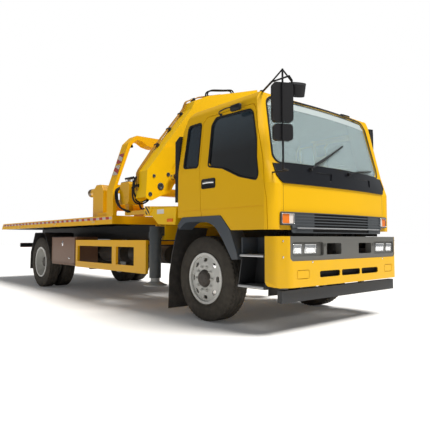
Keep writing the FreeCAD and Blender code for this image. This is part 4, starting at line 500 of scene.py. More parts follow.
def turned(profile, centre=(0, 0, 0), axis="y", steps=32):
    """A profile of (place along the axis, radius) turned about it: each place gives a ring of points
    centre + place * axis + radius * (cos t, sin t) across it. The faces look away from the axis."""
    profile = np.asarray(profile, float)
    t = np.arange(steps) * 2 * math.pi / steps
    along = np.broadcast_to(profile[:, :1], (len(profile), steps))
    first, second = profile[:, 1:] * np.cos(t), profile[:, 1:] * np.sin(t)
    order = {"x": (along, first, second), "y": (second, along, first), "z": (first, second, along)}[axis]
    return np.stack(order, -1).reshape(-1, 3) + centre, grid_faces(len(profile), steps, False, True)[:, ::-1]


lamp_glass, tree, shader = material("lamp glass", (0.60, 0.62, 0.64), 0.04)
flutes = node(tree, "TexWave", {"Vector": object_place(tree), "Scale": 40.0})
flutes.bands_direction = "Y"
wire(tree, shader, {"Transmission Weight": 0.85, "Normal": bumped(tree, flutes.outputs["Fac"], 0.25, 0.002)})

lamp_height = 0.88
lenses, bowls = [], []
for low, high in ((0.6003, 0.7917), (0.8433, 0.9747)):
    u, v = np.meshgrid(np.linspace(-1, 1, 21), np.linspace(-1, 1, 15))
    y, z = (low + high) / 2 + u * (high - low) / 2, lamp_height + v * 0.0477
    swell, hollow = (1 - u**4) * (1 - v**4), (1 - u**2) * (1 - v**2)**0.5
    lens = np.stack([1.252 + 0.006 * swell, y, z], -1).reshape(-1, 3)
    bowl = np.stack([1.246 - 0.028 * hollow, y, z], -1).reshape(-1, 3)
    rim = divided(oblong((low, high), (0.8325, 0.9275), 0.008, 4), 0.03)
    for s in (1, -1):
        lenses.append(flipped((lens, grid_faces(15, 21)), s))
        bowls.append(flipped((bowl, grid_faces(15, 21)), s))
        line = np.stack([np.full(len(rim), 1.2515), rim[:, 0] * s, rim[:, 1]], 1)
        bowls.append(tube(line, (0.005, 0.006), 6, True))
bulb = [(1.215, 0.0), (1.216, 0.012), (1.236, 0.011), (1.243, 0.0)]
bulbs = [turned(bulb, (0, y, lamp_height), "x", 12) for y in (0.696, 0.909, -0.696, -0.909)]
lamp_bowls = piece("headlamp_bowls", bowls + bulbs, bright, "chassis")
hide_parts("headlamps")
piece("headlamp_lenses", lenses, lamp_glass, "chassis")


# Wheels
# Radial tyres with a ribbed and blocked tread on steel disc wheels. The rims are sprayed silver white,
# the hubs are bare dark castings, and ten nuts hold each wheel.

TYRE_RADIUS = 0.510
REAR_AXLE = -5.28


def tyre(half, middle, steps, bead=0.3063, radius=TYRE_RADIUS, blocks=60):
    """A tyre turned about Y. Across it runs a curve through bead, bulge, shoulder and crown; round it the
    tread is lowered by zigzag ribs |y - rib - zigzag(t)| < width and by slots at each shoulder."""
    knots = [(half - 0.0243, bead), (half - 0.0235, bead + 0.019), (half - 0.008, bead + 0.034),
             (half, bead + 0.075), (half + 0.001, (bead + radius) / 2 + 0.01), (half - 0.006, radius - 0.052),
             (half - 0.016, radius - 0.020), (half - 0.027, radius - 0.004)]
    wall = through(knots, 4)
    crown_y = np.linspace(half - 0.030, -half + 0.030, 47)
    crown = np.stack([crown_y, radius - 0.004 * (crown_y / half)**2], 1)
    across = np.concatenate([wall, crown, (wall * (-1, 1))[::-1]])
    t = np.arange(steps) * 2 * math.pi / steps
    y, r = [np.broadcast_to(column, (steps, len(across))).copy() for column in across.T]
    pitch = (t * blocks / (2 * math.pi))[:, None]
    zigzag = 0.0045 * (2 * np.abs(pitch % 1 - 0.5) - 0.5)
    on_tread, in_gap = r > radius - 0.006, pitch % 1 < 0.32
    rib = np.any([np.abs(y - place * half - zigzag) < 0.0055 for place in (-0.62, -0.22, 0.22, 0.62)], 0)
    slot = (np.abs(y) > 0.62 * half) & in_gap
    sipe = (np.abs(y) < 0.60 * half) & ((pitch + 0.5) % 1 < 0.18)
    r -= on_tread * np.maximum(np.maximum(0.012 * rib, 0.010 * slot), 0.004 * sipe)
    r -= ((r > radius - 0.045) & ~on_tread) * in_gap * 0.004
    lines = (np.abs(r - bead - 0.05) < 0.004) | (np.abs(r - radius + 0.075) < 0.004)
    y += lines * np.sign(y) * 0.0015
    points = np.stack([r * np.sin(t)[:, None], y, r * np.cos(t)[:, None]], -1).reshape(-1, 3) + middle
    return points, grid_faces(steps, len(across), True, False)


def copied(mesh, centre, count, radius, start=0.0):
    """Copies of a small mesh round a circle about Y through the centre."""
    points, faces = mesh
    turns = start + np.arange(count) * 2 * math.pi / count
    spots = [(radius * math.cos(t), 0, radius * math.sin(t)) for t in turns]
    return together(*[(points + spot + centre, faces) for spot in spots])


tyre_rubber = painted("tyre rubber", (0.030, 0.027, 0.023), 0.78, coat=0.0, dust=0.35, grain=220, bump=0.1)
rim_silver = painted("rim silver", (0.66, 0.66, 0.63), 0.42, coat=0.2, dust=0.3, metal=0.15)
hub_iron = painted("hub iron", (0.045, 0.040, 0.040), 0.6, coat=0.1, dust=0.4, grain=160, bump=0.15)
finish_nodes(rim_silver, "front_rim_left", "front_rim_right", "twin_rims_left", "twin_rims_right")
flange = [(0.0, 0.0), (0.0, 0.0185), (0.003, 0.0185), (0.003, 0.0165), (0.022, 0.0165), (0.025, 0.014),
          (0.025, 0.0)]
stud = [(0.02, 0.0085), (0.036, 0.0085), (0.038, 0.0065), (0.038, 0.0)]
nut = together(turned(flange, steps=6), turned(stud, steps=8))
hub_bolt = turned([(0.0, 0.008), (0.006, 0.008), (0.007, 0.006), (0.007, 0.0)], steps=6)
front_cap = [(0.0, 0.107), (0.004, 0.107), (0.006, 0.100), (0.022, 0.094), (0.034, 0.090), (0.038, 0.084),
             (0.040, 0.060), (0.041, 0.0)]
rear_cap = [(0.150, 0.1045), (0.156, 0.1045), (0.160, 0.101), (0.194, 0.097), (0.200, 0.090), (0.203, 0.05),
            (0.203, 0.0)]
front = np.array([0, 0.992, TYRE_RADIUS])
outer, rear, inner = [np.array([REAR_AXLE, y, TYRE_RADIUS]) for y in (1.067, 0.907, 0.747)]
front_tread = tyre(0.1325, front, 300)
twin_treads = together(tyre(0.1225, outer, 260), tyre(0.1225, inner, 260))
front_hub = together(turned(front_cap, front + (0, 0.1186, 0), steps=40),
                     copied(hub_bolt, front + (0, 0.157, 0), 6, 0.062))
rear_hub = together(turned(rear_cap, rear, steps=40), copied(hub_bolt, rear + (0, 0.2015, 0), 8, 0.072))
front_nuts = copied(nut, front + (0, 0.1183, 0), 10, 0.1430)
rear_nuts = copied(nut, rear + (0, 0.0178, 0), 10, 0.1420, 0.3)
for side, s in SIDES:
    for end, body, name, tread, hub, nuts in (
            ("front", f"front_wheel_{side}", f"front_tyre_tread_{side}", front_tread, front_hub, front_nuts),
            ("rear", f"rear_wheels_{side}", f"twin_tyre_treads_{side}", twin_treads, rear_hub, rear_nuts)):
        treaded = piece(name, flipped(tread, s), tyre_rubber, body)
        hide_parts(f"front_tyre_{side}" if end == "front" else f"twin_tyres_{side}")
        piece(f"{end}_hub_cap_{side}", flipped(hub, s), hub_iron, body)
        piece(f"{end}_wheel_nuts_{side}", flipped(nuts, s), rim_silver, body, smooth=False)


# Mirrors
# Black moulded heads on bent tube. Each holds a silvered glass, slightly domed, on its rear face. The
# left door carries its own pair.

silvered = painted("silvered glass", (0.75, 0.78, 0.80), 0.03, coat=0.0, dust=0.0, metal=1.0, bump=0.0)


def mirror_glass(middle, size, facing, corner, depth):
    """A domed sheet on the rear face of a head: the outline shrinks in rings towards its middle while it
    stands out by 3 mm (1 - ring^2), turned about the upright axis like the head."""
    width, height = size[0] / 2 - 0.012, size[1] / 2 - 0.012
    shrink = np.array([1.0, 0.98, 0.8, 0.5, 0.2, 0.0])
    level = -(depth / 2 + 0.001 + 0.003 * (1 - shrink**2))
    outline = oblong((-width, width), (-height, height), corner, 6)
    points, faces = dished(outline, shrink, level, centre=(0, 0))
    x, u, v = points.T
    c, q = math.cos(math.radians(facing)), math.sin(math.radians(facing))
    return np.stack([x * c - u * q, x * q + u * c, v], -1) + middle, faces


glasses = [mirror_glass((1.310, -1.196, 2.332), (0.215, 0.395), -28, 0.035, 0.060),
           mirror_glass((1.315, -1.196, 2.032), (0.200, 0.165), -28, 0.030, 0.050)]
piece("mirror_glass_right", glasses, silvered, "cab")
glasses = [mirror_glass((0.836, 1.222, 2.340), (0.170, 0.340), 16, 0.035, 0.050),
           mirror_glass((0.856, 1.248, 1.915), (0.116, 0.190), 16, 0.035, 0.046)]
piece("mirror_glass_left", glasses, silvered, "door_left")


# Cab inside
# Two sprung seats in dark cloth over foam stand on bellows, beside a moulded cover over the engine. The
# cushions are crowned forms: |u|^n + |v|^n = 1 in plan, with height falling to a seam round the edge.

seat_cloth = painted("seat cloth", (0.060, 0.058, 0.060), 0.9, coat=0.0, dust=0.0, grain=900, bump=0.6)


def cushion(low, high, power=5.0, crown=0.72, steps=36):
    """A stuffed pad filling a box: a superellipsoid whose sides pull in between its corners. With angles a
    and b, each place is |cos|^(2/power) or |sin|^(2/power) of them with its sign, times the half size."""
    a = np.linspace(-math.pi / 2, math.pi / 2, steps)
    b = np.linspace(-math.pi, math.pi, 2 * steps, endpoint=False)
    a, b = np.meshgrid(a, b, indexing="ij")
    lift = lambda f, p: np.sign(f) * np.abs(f)**(2 / p)
    waist, z = lift(np.cos(a), 3), lift(np.sin(a), 3)
    x, y = waist * lift(np.cos(b), power), waist * lift(np.sin(b), power)
    drawn = lambda f, g: 0.04 * np.cos(f * math.pi / 2) * (np.abs(g) > 0.9)
    pull = 1 - drawn(x, y) - drawn(y, x)
    seam = 1 - 0.05 * np.exp(-((z - 0.2) / 0.05)**2)
    channel = 1 - 0.05 * np.exp(-(x / 0.04)**2) - 0.05 * np.exp(-((np.abs(y) - 0.55) / 0.04)**2)
    height = z * (crown + (1 - crown) * (1 - x**2) * (1 - y**2)) * channel
    points = np.clip(np.stack([x * pull * seam, y * pull * seam, height], -1), -1, 1).reshape(-1, 3)
    low, high = np.array(low), np.array(high)
    return points * (high - low) / 2 + (low + high) / 2, grid_faces(steps, 2 * steps, False, True)


def leaned(mesh, degrees, x0=0.0, z0=1.66):
    """A mesh turned about Y through the foot of the seat's back."""
    points, faces = mesh
    c, q = math.cos(math.radians(degrees)), math.sin(math.radians(degrees))
    x, z = points[:, 0] - x0, points[:, 2] - z0
    return np.stack([x0 + c * x + q * z, points[:, 1], z0 - q * x + c * z], 1), faces


pads = (("cushion", cushion((-0.055, 0.355, 1.50), (0.435, 0.845, 1.66))),
        ("back", leaned(cushion((-0.05, 0.375, 1.66), (0.05, 0.825, 2.24), 4.0), -10)),
        ("headrest", leaned(cushion((-0.035, 0.49, 2.18), (0.035, 0.71, 2.34), 4.0), -9)))
for side, s in SIDES:
    for part, pad in pads:
        piece(f"seat_{part}_{side}", flipped(pad, s), seat_cloth, "cab")

folds = 0.20 + 0.012 * np.sin(np.arange(25) * math.pi / 2)
points, faces = dished(oblong((-1, 1), (-1, 1), 0.3), folds, np.linspace(1.296, 1.505, 25), "abd", (0, 0))
bellows = (points + (0.19, 0.60, 0), faces)
hump = oblong((-0.25, 0.25), (1.295, 1.50), 0.06)
shrink = np.concatenate([[0.0, 0.97], np.ones(15), [0.97, 0.0]])
cover = dished(hump, shrink, np.linspace(-0.30, 0.60, 19), centre=(0, 1.4))
inside = piece("seat_plinths_and_engine_cover", [flipped(bellows, 1), flipped(bellows, -1), cover],
               black_plastic, "cab")
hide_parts("seats")


# Chassis, axles and tanks
# Channel rails, springs and tanks are sprayed black over road dirt; the axle and engine are raw castings.
# A ribbed screen stands before the radiator. Black sleeves in the bumper's slots are painted shade over their
# yellow walls.

chassis_black = painted("chassis black", (0.018, 0.018, 0.02), 0.55, coat=0.1, dust=0.4)
casting_black = painted("casting black", (0.02, 0.019, 0.018), 0.7, coat=0.0, dust=0.5, grain=160, bump=0.2)
finish_nodes(chassis_black, "frame_rails", "tilt_frame", "side_tanks", "tilt_barrels", "mudguards")
finish_nodes(casting_black, "engine_block", "front_axle", "rear_axle", "knuckle_left", "knuckle_right")


def plated(points, shape, thick):
    """A grid of points that faces ahead, with a second face behind it."""
    points, faces = points.reshape(-1, 3), grid_faces(*shape)
    return together((points, faces[:, ::-1]), (points - (thick, 0, 0), faces))


y, z = np.meshgrid(np.linspace(-0.90, 0.90, 181), np.linspace(0.765, 1.062, 40))
x = 0.925 + 0.006 * np.sin(y * 140) + 0.012 * ((np.abs(y) > 0.87) | (z < 0.785) | (z > 1.045))
screen = plated(np.stack([x, y, z], -1), (40, 181), 0.012)
piece("radiator_screen", screen, chassis_black, "chassis")
y, z = np.meshgrid(np.linspace(0.49, 0.885, 18), np.linspace(1.014, 1.066, 5))
valance = plated(front_face(y, z, -0.030), (5, 18), 0.004)
piece("cab_valances", [flipped(valance, 1), flipped(valance, -1)], rubber, "cab")

# Painted shade: thin black sleeves inside the bumper's three slots stand for the shadow on their yellow
# walls.
slot_shade_sleeves = []
for place in (-0.4, 0.0, 0.4):
    slot = divided(oblong((place - 0.1815, place + 0.1815), (0.5755, 0.6425), 0.02), 0.03)
    levels = np.array([1.2855, 1.255, 1.238, 1.236]) - 0.004 * (place != 0)
    slot_shade_sleeves.append(dished(slot, [1.0, 0.995, 0.99, 0.0], levels))
piece("bumper_slot_painted_shade", slot_shade_sleeves, rubber, "chassis")
points, faces = turned([(0.0, 0.011), (0.003, 0.011), (0.005, 0.008), (0.005, 0.0)], axis="x", steps=12)
spots = [(AHEAD, s * y, z) for s in (1, -1) for y, z in ((1.10, 0.962), (1.10, 0.80), (0.70, 0.742))]
screws = [(points + spot, faces) for spot in laid_on("front_bumper", spots, BACK) - (0.001, 0, 0)]
piece("bumper_screws", screws, bright, "chassis", smooth=False)


# Side guards, tool boxes and tail lamps
# The guards are folded yellow plate. Each steel tool box has a lid on a long hinge with a small plated
# handle above and a latch below. Behind, each side has three square red lenses on a dark and red bar.

bed_yellow = (0.88, 0.465, 0.0006)
works_yellow = painted("bed and crane yellow", bed_yellow, rough=0.44, coat=0.14, dust=0.12)
finish_nodes(works_yellow, "side_guards")
box_brown = painted("box brown", (0.19, 0.10, 0.060), rough=0.45, coat=0.2, dust=0.25)
finish_nodes(box_brown, "toolboxes", "toolbox_lid_left", "toolbox_lid_right")
handle = []
for x, z, w, h in ((-4.12, 0.900, 0.022, 0.046), (-3.81, 0.637, 0.020, 0.020)):
    plate = oblong((x - w, x + w), (z - h, z + h), 0.012, 4)
    levels = 1.190 + np.array([0.0, 0.0025, 0.0035, 0.0035])
    points, faces = dished(plate, [1.0, 1.0, 0.95, 0.0], levels, "adb", (x, z))
    grip = [(-0.6, 1.192), (-0.55, 1.206), (0.0, 1.209), (0.55, 1.206), (0.6, 1.192)]
    grip = through([(x + w * part, out, z) for part, out in grip], 5)
    handle += [(points, faces[:, ::-1]), tube(grip, (0.005, 0.005), 8)]
edge = divided(oblong((-4.632, -3.573), (0.556, 0.997), 0.015, 3), 0.06)
edge = tube(np.insert(edge, 1, 1.1895, 1), (0.006, 0.0035), 6, True)
for side, s in SIDES:
    lid = f"toolbox_lid_{side}"
    piece(f"toolbox_handle_{side}", flipped(together(*handle), s), bright, lid)
    piece(f"toolbox_lid_pressing_{side}", flipped(edge, s), box_brown, lid)

dark, red = (0.018, 0.018, 0.020), (0.42, 0.008, 0.006)
lamp_red = two_tone("tail lamp bar", dark, red, "X", -3.6865, absolute=False)
finish_nodes(lamp_red, "tail_lamps")
lenses = []
u, v = np.meshgrid(np.linspace(-1, 1, 15), np.linspace(-1, 1, 11))
for s in (1, -1):
    for low, high in ((0.725, 0.835), (0.842, 0.955), (0.962, 1.075)):
        y = s * ((low + high) / 2 + u * (high - low) / 2)
        points = np.stack([-6.895 - 0.006 * (1 - u**4) * (1 - v**4), y, 0.84 + v * 0.046], -1).reshape(-1, 3)
        lenses.append((points, grid_faces(11, 15)[:, ::-s]))
red_lens = painted("red lens", (0.45, 0.01, 0.008), rough=0.12, coat=0.8, dust=0.0, bump=0.0)
piece("tail_lamp_lenses", lenses, red_lens, "chassis")


# Bed, hoop and winch
# The bed is welded yellow plate with a tread plate deck and a black underside. Red and white tape runs
# along its sides over three pale amber lamps. The winch is black with a yellow housing at its front.

finish_nodes(works_yellow, "headboard_hoop")
bed_paint = painted("bed paint", bed_yellow, rough=0.44, coat=0.14, dust=0.12)
tree = bed_paint.node_tree
shader = tree.nodes["Principled BSDF"]
yellow = shader.inputs["Base Color"].links[0].from_socket
axes = node(tree, "SeparateXYZ", {0: object_place(tree)}).outputs
under = 1.0
for socket, edge in ((maths(tree, "ABSOLUTE", axes["Y"]), 1.175), (axes["Z"], 1.300), (axes["X"], 1.040)):
    under = maths(tree, "MULTIPLY", under, maths(tree, "LESS_THAN", socket, edge))
wire(tree, shader, {"Base Color": mixed(tree, under, yellow, (0.012, 0.012, 0.013))})
finish_nodes(bed_paint, "bed")
winch_tone = two_tone("winch", (0.86, 0.45, 0.001), (0.014, 0.014, 0.015), "X", 0.085, absolute=False)
finish_nodes(winch_tone, "winch")


def striped(name, first, second, period, slant, rough=0.25, coat=0.6):
    """Two colours in turn along X + slant * Z, each half a period long, under a beaded clear face."""
    made, tree, shader = material(name, first, rough)
    place = object_place(tree)
    along = node(tree, "VectorMath", {0: place, 1: (1 / period, 0, slant / period)})
    along.operation = "DOT_PRODUCT"
    half = maths(tree, "GREATER_THAN", maths(tree, "FRACT", along.outputs["Value"]), 0.5)
    cells = node(tree, "TexVoronoi", {"Vector": place, "Scale": 260.0}).outputs["Distance"]
    wire(tree, shader, {"Coat Weight": coat, "Base Color": mixed(tree, half, first, second),
                        "Normal": bumped(tree, cells, 0.2, 0.0006)})
    return made


def strip(x, z, y, side, thick=0.0012):
    """A flat strip on a side face: a shallow box between two ends along X and two heights, at |Y| = y."""
    places, heights = [y - 0.0005, y + thick, y + thick, y - 0.0005], [z[0], z[0], z[1], z[1]]
    points = np.stack([np.repeat(x, 4), np.tile(places, 2), np.tile(heights, 2)], 1)
    faces = grid_faces(2, 4, False, True)[:, ::-1].tolist() + [[0, 1, 2, 3], [7, 6, 5, 4]]
    return flipped((points, faces), side)


bed_side = 1.250
tape = striped("red and white tape", (0.62, 0.50, 0.42), (0.50, 0.035, 0.020), 0.22, 0.25)
patch_tape = striped("hoop tape", (0.55, 0.50, 0.44), (0.40, 0.030, 0.022), 0.34, 2.6)
amber_lens = painted("pale amber lens", (0.85, 0.55, 0.16), rough=0.15, coat=0.8, dust=0.0, bump=0.0)
for side, s in SIDES:
    along = strip((-7.63, -2.09), (1.285, 1.325), bed_side, s)
    piece(f"bed_tape_{side}", along, tape, "bed", smooth=False)
    marks = [strip((x, x + 0.10), (1.243, 1.271), bed_side, s, 0.018) for x in (-6.4, -4.4, -2.75)]
    piece(f"bed_side_lamps_{side}", marks, amber_lens, "bed", smooth=False)

deck_yellow, deck_rubbed = (0.86, 0.46, 0.004), (0.55, 0.34, 0.05)
plate_steel, tree, shader = material("tread plate", deck_yellow, 0.5)
place = object_place(tree)
diagonal = node(tree, "Mapping", {"Vector": place, "Rotation": (0, 0, math.radians(45))}).outputs[0]
checks = node(tree, "TexChecker", {"Vector": diagonal, "Scale": 28.0}).outputs["Fac"]
bars = node(tree, "TexWave", {"Vector": diagonal, "Scale": 9.0, "Distortion": 0.4}).outputs["Fac"]
lumps = node(tree, "Mix", {0: checks, 3: bars}).outputs[0]
bare = ranged(tree, noise(tree, place, 2.2, 9.0), 0.0, 1.0, 0.60, 0.80)
wire(tree, shader, {"Base Color": mixed(tree, bare, deck_yellow, deck_rubbed),
                    "Normal": bumped(tree, lumps, 0.5, 0.003)})
x, y = np.meshgrid(np.linspace(-7.655, -3.265, 24), np.linspace(-1.155, 1.155, 14), indexing="ij")
deck = (np.stack([x, y, np.full_like(x, 1.3142)], -1).reshape(-1, 3), grid_faces(24, 14))
piece("deck_tread_plate", deck, plate_steel, "bed", smooth=False)

foot, knee, proud = np.array([1.2445, 1.76]), np.array([0.9955, 2.492]), np.array([0.0035, 0.0012])
patches, lamps = [], []
for s in (1, -1):
    for start, end in ((0.30, 0.52), (0.56, 0.78)):
        low, high = [foot + (knee - foot) * share + proud for share in (start, end)]
        quad = [(-2.235, *low), (-2.075, *low), (-2.075, *high), (-2.235, *high)]
        patches.append(flipped((np.array(quad), [[0, 1, 2, 3]]), s))
    lamp = [(0.0, 0.052), (0.012, 0.052), (0.05, 0.040), (0.06, 0.030), (0.062, 0.0)]
    lamps.append(turned(lamp, (-2.16, s * 0.905, 2.46), "z", 24))
piece("hoop_reflector_patches", patches, patch_tape, "bed", smooth=False)
piece("hoop_lamps", lamps, rubber, "bed")


# Crane base, controls and outriggers
# The base is a welded box across the rails. Its ends carry hazard stripes and a bare label place. The
# valve block is a black casting with a row of levers and knobs. Outrigger tubes are grey.

crane_yellow = painted("crane yellow", (0.88, 0.53, 0.0015), rough=0.44, coat=0.14, dust=0.10)
finish_nodes(crane_yellow, "crane_base", "crane_column", "luff_barrel", "inner_boom", "outer_boom",
             "boom_extension")
leg_grey = painted("leg grey", (0.045, 0.056, 0.064), rough=0.5, coat=0.15, dust=0.3)
finish_nodes(leg_grey, "outrigger_left", "outrigger_right", "fold_barrel")
rod_chrome = painted("cylinder rod", (0.62, 0.62, 0.63), 0.18, coat=0.0, dust=0.1, metal=1.0, bump=0.0)
finish_nodes(rod_chrome, "tilt_rods", "luff_rod", "fold_rod")
foot_grey = painted("leg foot grey", (0.36, 0.37, 0.37), rough=0.5, coat=0.1, dust=0.4)
finish_nodes(foot_grey, "outrigger_leg_left", "outrigger_leg_right")
casting, stand = (0.016, 0.016, 0.017), (0.86, 0.45, 0.001)
control_tone = two_tone("control stand", casting, stand, "Z", 1.835, absolute=False)
finish_nodes(control_tone, "crane_controls")

base_y, label_ends = 1.200, (-0.905, -0.745)
hazard = striped("hazard stripes", (0.85, 0.47, 0.002), (0.012, 0.012, 0.013), 0.075, 1.0, 0.4, 0.3)
label_white = painted("bare label plate", (0.72, 0.72, 0.70), rough=0.35, coat=0.4, dust=0.05, grain=200)
orange_lens = painted("orange lens", (0.85, 0.16, 0.008), rough=0.14, coat=0.8, dust=0.0, bump=0.0)
for side, s in SIDES:
    for name, x, z, out, thick, made, slot in (
            ("hazard_stripes", (-1.178, -1.075), (1.318, 1.428), 1.2145, 0.0012, hazard, "yellow_paint"),
            ("label_place", label_ends, (1.318, 1.378), base_y, 0.002, label_white, "grey_paint"),
            ("label_heading", label_ends, (1.3785, 1.395), base_y, 0.002, black_plastic, "black_plastic"),
            ("base_marker_lamp", (-0.66, -0.54), (1.205, 1.245), base_y, 0.012, orange_lens, "orange_lamp")):
        piece(f"{name}_{side}", strip(x, z, out, s, thick), made, "chassis", smooth=False)

valves = []
ball = np.linspace(0.06, math.pi - 0.02, 7)
ball = np.stack([-0.016 * np.cos(ball), 0.016 * np.sin(ball)], 1)
valve_cap = [(0.0, 0.017), (0.022, 0.017), (0.026, 0.012), (0.028, 0.0)]
for x in -1.915 + 0.046 * np.arange(6):
    valves.append(tube([(x, -1.105, 1.835), (x, -1.105, 1.870), (x, -1.112, 1.898)], (0.005, 0.005), 8))
    valves.append(turned(ball, (x, -1.113, 1.905), "z", 12))
    valves.append(turned(valve_cap, (x, -1.2005, 1.60), "y", 6))
piece("valve_levers_and_caps", valves, black_plastic, "chassis")

pins = []
for y, z, size in ((-1.03, 1.72, 0.052), (-1.20, 1.60, 0.030), (-0.90, 1.90, 0.030), (-1.14, 1.86, 0.024)):
    cap = [(0.0, size), (0.006, size), (0.009, size * 0.92), (0.010, size * 0.5), (0.004, size * 0.42),
           (0.004, 0.0)]
    points, faces = turned(cap, axis="x", steps=24)
    for x, s in ((-1.081, 1), (-1.379, -1)):
        pins.append((points * (s, 1, 1) + (x - 0.0005 * s, y, z), faces[:, ::s]))
piece("knuckle_pins", pins, leg_grey, "outer_boom")


# Crane pipes, clamps and hoses
# Two steel pipes run up the leaning limb's rear edge under clamp saddles, and two rubber hoses lie over
# the top limb. Hoses also join the valve block to the base. Each is 24 mm hydraulic hose.

limb_edge = np.array([(-1.268, 1.66), (-1.262, 1.90), (-1.235, 1.962), (-1.004, 2.288), (-0.475, 2.955),
                      (-0.412, 3.096), (-0.160, 3.218), (0.30, 3.352)])
pairs = zip(limb_edge, limb_edge[1:])
spans = [[a + (b - a) * 0.12, a + (b - a) * 0.5, b - (b - a) * 0.12] for a, b in pairs]
route = through(np.concatenate([limb_edge[:1], *spans, limb_edge[-1:]]), 4) + (-0.008, 0.006)
pipes = [tube(np.insert(route, 0, x, 1), (0.010, 0.010), 8) for x in (-1.330, -1.298)]
pipe_brown = painted("pipe brown", (0.40, 0.20, 0.02), rough=0.4, coat=0.2, dust=0.1)
piece("crane_pipes", pipes, pipe_brown, "outer_boom")


def saddle(spot, along, half=(0.040, 0.022, 0.030)):
    """A clamp block with rounded shoulders across the limb: a bar of seven-sided section along X."""
    along = np.array([0.0, *along]) / np.linalg.norm(along)
    out = np.array([0.0, -along[2], along[1]])
    section = [(-1, -0.6), (-1, 0.5), (-0.6, 1), (0, 1.08), (0.6, 1), (1, 0.5), (1, -0.6)]
    ring = np.array([np.asarray(spot) + along * u * half[1] + out * v * half[2] for u, v in section])
    ends = np.array([-half[0], half[0]])[:, None, None] * np.array([1.0, 0, 0])
    points = (ring[None] + ends).reshape(-1, 3)
    return points, grid_faces(2, 7, False, True)[:, ::-1].tolist() + [list(range(7)), list(range(13, 6, -1))]


saddles = []
for start, end, places in (((-0.995, 2.282), (-0.468, 2.950), (0.10, 0.50, 0.90)),
                           ((-0.405, 3.090), (-0.155, 3.212), (0.5,)),
                           ((-1.262, 1.66), (-1.256, 1.90), (0.3,)),
                           ((-0.15, 3.205), (0.40, 3.372), (0.3,))):
    a, b = np.array(start), np.array(end)
    saddles += [saddle((-1.314, *(a + (b - a) * place)), b - a) for place in places]
piece("pipe_clamps", saddles, black_plastic, "outer_boom", smooth=False)


def hose(name, route, body, diameter=0.024):
    """A rubber hose along a route of control points, fixed at both ends: a NURBS curve of order 3."""
    route = np.asarray(route, float) + (AXLE, 0, 0)
    data = bpy.data.curves.new(name, "CURVE")
    data.dimensions = "3D"
    data.bevel_depth = diameter / 2
    data.bevel_resolution = 3
    data.use_fill_caps = True
    line = data.splines.new("NURBS")
    line.points.add(len(route) - 1)
    line.points.foreach_set("co", np.column_stack([route, np.ones(len(route))]).ravel())
    line.order_u = 3
    line.use_endpoint_u = True
    line.resolution_u = 12
    made = bpy.data.objects.new(name, data)
    bpy.context.collection.objects.link(made)
    fit(made, rubber, body)


for k in range(3):
    x, z = 0.032 * k, -0.012 * k
    hose(f"valve_hose_{k}", [
        (-1.939, -1.17 + x, 1.775), (-1.985, -1.175 + x, 1.775), (-2.010 + x, -1.235, 1.735),
        (-1.985 + x, -1.250, 1.63), (-1.945 + x, -1.250, 1.53 + z), (-1.880 + x, -1.235, 1.460 + z),
        (-1.820 + x, -1.19, 1.415), (-1.800 + x, -1.131, 1.385)], "chassis")
for k in range(2):
    u = 0.030 * k
    hose(f"fork_hose_{k}", [
        (-1.335 + u, -1.262, 1.86), (-1.335 + u, -1.295, 1.855), (-1.345 + u, -1.318, 1.76),
        (-1.355 + u, -1.318, 1.64), (-1.385 + u, -1.295 + u, 1.545 + u), (-1.403, -1.230, 1.488 + u),
        (-1.405, -1.130, 1.486 + u), (-1.405, -1.045, 1.525 + u), (-1.402, -0.995, 1.590 + u),
        (-1.380, -0.975, 1.650 + u)], "outer_boom")
base_route = [(-1.661, 1.745), (-1.590, 1.745), (-1.500, 1.720), (-1.460, 1.60), (-1.450, 1.49),
              (-1.400, 1.412), (-1.310, 1.412), (-1.223, 1.412)]
hose("base_hose", np.insert(base_route, 1, -1.15, 1), "chassis")
boom_route = [(-0.10, 3.205), (-0.115, 3.275), (-0.03, 3.335), (0.12, 3.365), (0.27, 3.395), (0.385, 3.425),
              (0.44, 3.42), (0.46, 3.375)]
for k, x in enumerate((-1.215, -1.170)):
    hose(f"boom_hose_{k}", np.insert(boom_route, 0, x, 1), "outer_boom")


# Cab lining
# The roof, the rear wall and the doors are lined with dark grey moulded board, clipped to the steel. Each
# board follows the steel's inner face a few millimetres off it and leaves the windows free.

lining_grey = painted("cab lining", (0.040, 0.042, 0.045), 0.85, coat=0.0, dust=0.0, grain=350, bump=0.25)


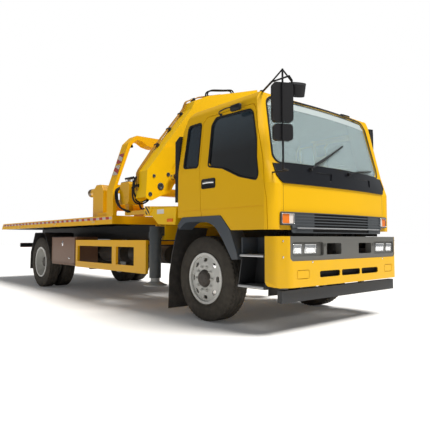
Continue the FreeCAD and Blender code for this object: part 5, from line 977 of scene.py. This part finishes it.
def lined(name, way, start, first, second, keep, gap=0.006):
    """Board laid on a wall from inside: a grid of ray hits a gap off the wall, less what isn't between the
    two places in keep. way is one axis and start the place on it from where the rays run; first and
    second are (low, high, count) along the two other axes."""
    way = np.asarray(way, float)
    axis = int(np.argmax(np.abs(way)))
    a, b = np.meshgrid(np.linspace(*first), np.linspace(*second), indexing="ij")
    spots = np.insert(np.stack([a.ravel(), b.ravel()], 1), axis, start + 2 * way[axis], 1)
    hits = laid_on(name, spots, way) - way * gap
    level = np.nan_to_num(np.abs(hits[:, axis]), nan=99.0)
    cells = grid_faces(*a.shape)
    cells = cells[((level > keep[0]) & (level < keep[1]))[cells].all(1)]
    used, cells = np.unique(cells, return_inverse=True)
    return hits[used], cells.reshape(-1, 4)


inside = [lined("cab_shell", (0, 0, 1), 2.3, (-0.40, 1.02, 60), (-1.08, 1.08, 80), (2.35, 2.7)),
          lined("cab_shell", BACK, -0.1, (-1.05, 1.05, 64), (1.36, 2.50, 46), (0.2, 0.5))]
for s in (1, -1):
    inside.append(lined("cab_shell", (0, s, 0), s * 0.8, (-0.36, -0.03, 14), (1.36, 2.46, 46), (1.0, 1.19)))
piece("cab_lining", inside, lining_grey, "cab")
for side, s in SIDES:
    board = lined(f"door_{side}", (0, s, 0), s * 0.8, (0.02, 0.98, 40), (1.20, 2.40, 50), (1.0, 1.09))
    piece(f"door_board_{side}", board, lining_grey, f"door_{side}")


# Small mirror above the door
# A close-view mirror for the kerb stands out from the right door's frame on a bent rod with a footplate.
# Its head is a moulded black shell.

seat = laid_on("door_right", [(0.31, -1.3, 2.428)], (0, 1, 0))[0]
rod = through([(0, 0.004, 0), (0.002, -0.035, 0.010), (0.045, -0.062, 0.024), (0.17, -0.078, 0.030),
               (0.29, -0.085, 0.018)], 5)
rod = tube(seat + rod, (0.007, 0.007), 8)
points, faces = flipped(turned([(0.0, 0.020), (0.010, 0.019), (0.014, 0.012), (0.015, 0.0)], steps=20), -1)
foot = (seat + points, faces)
ring = divided(oblong((0.25, 0.41), (-0.030, 0.040), 0.022), 0.03)
levels = -0.062 - np.array([0.0, 0.0, 0.006, 0.022, 0.036, 0.045, 0.048])
points, faces = dished(ring, [0.0, 0.94, 1.0, 1.0, 0.90, 0.5, 0.0], levels, "adb")
head = (seat + points, faces[:, ::-1])
piece("kerb_mirror", [rod, foot, head], black_plastic, "door_right")
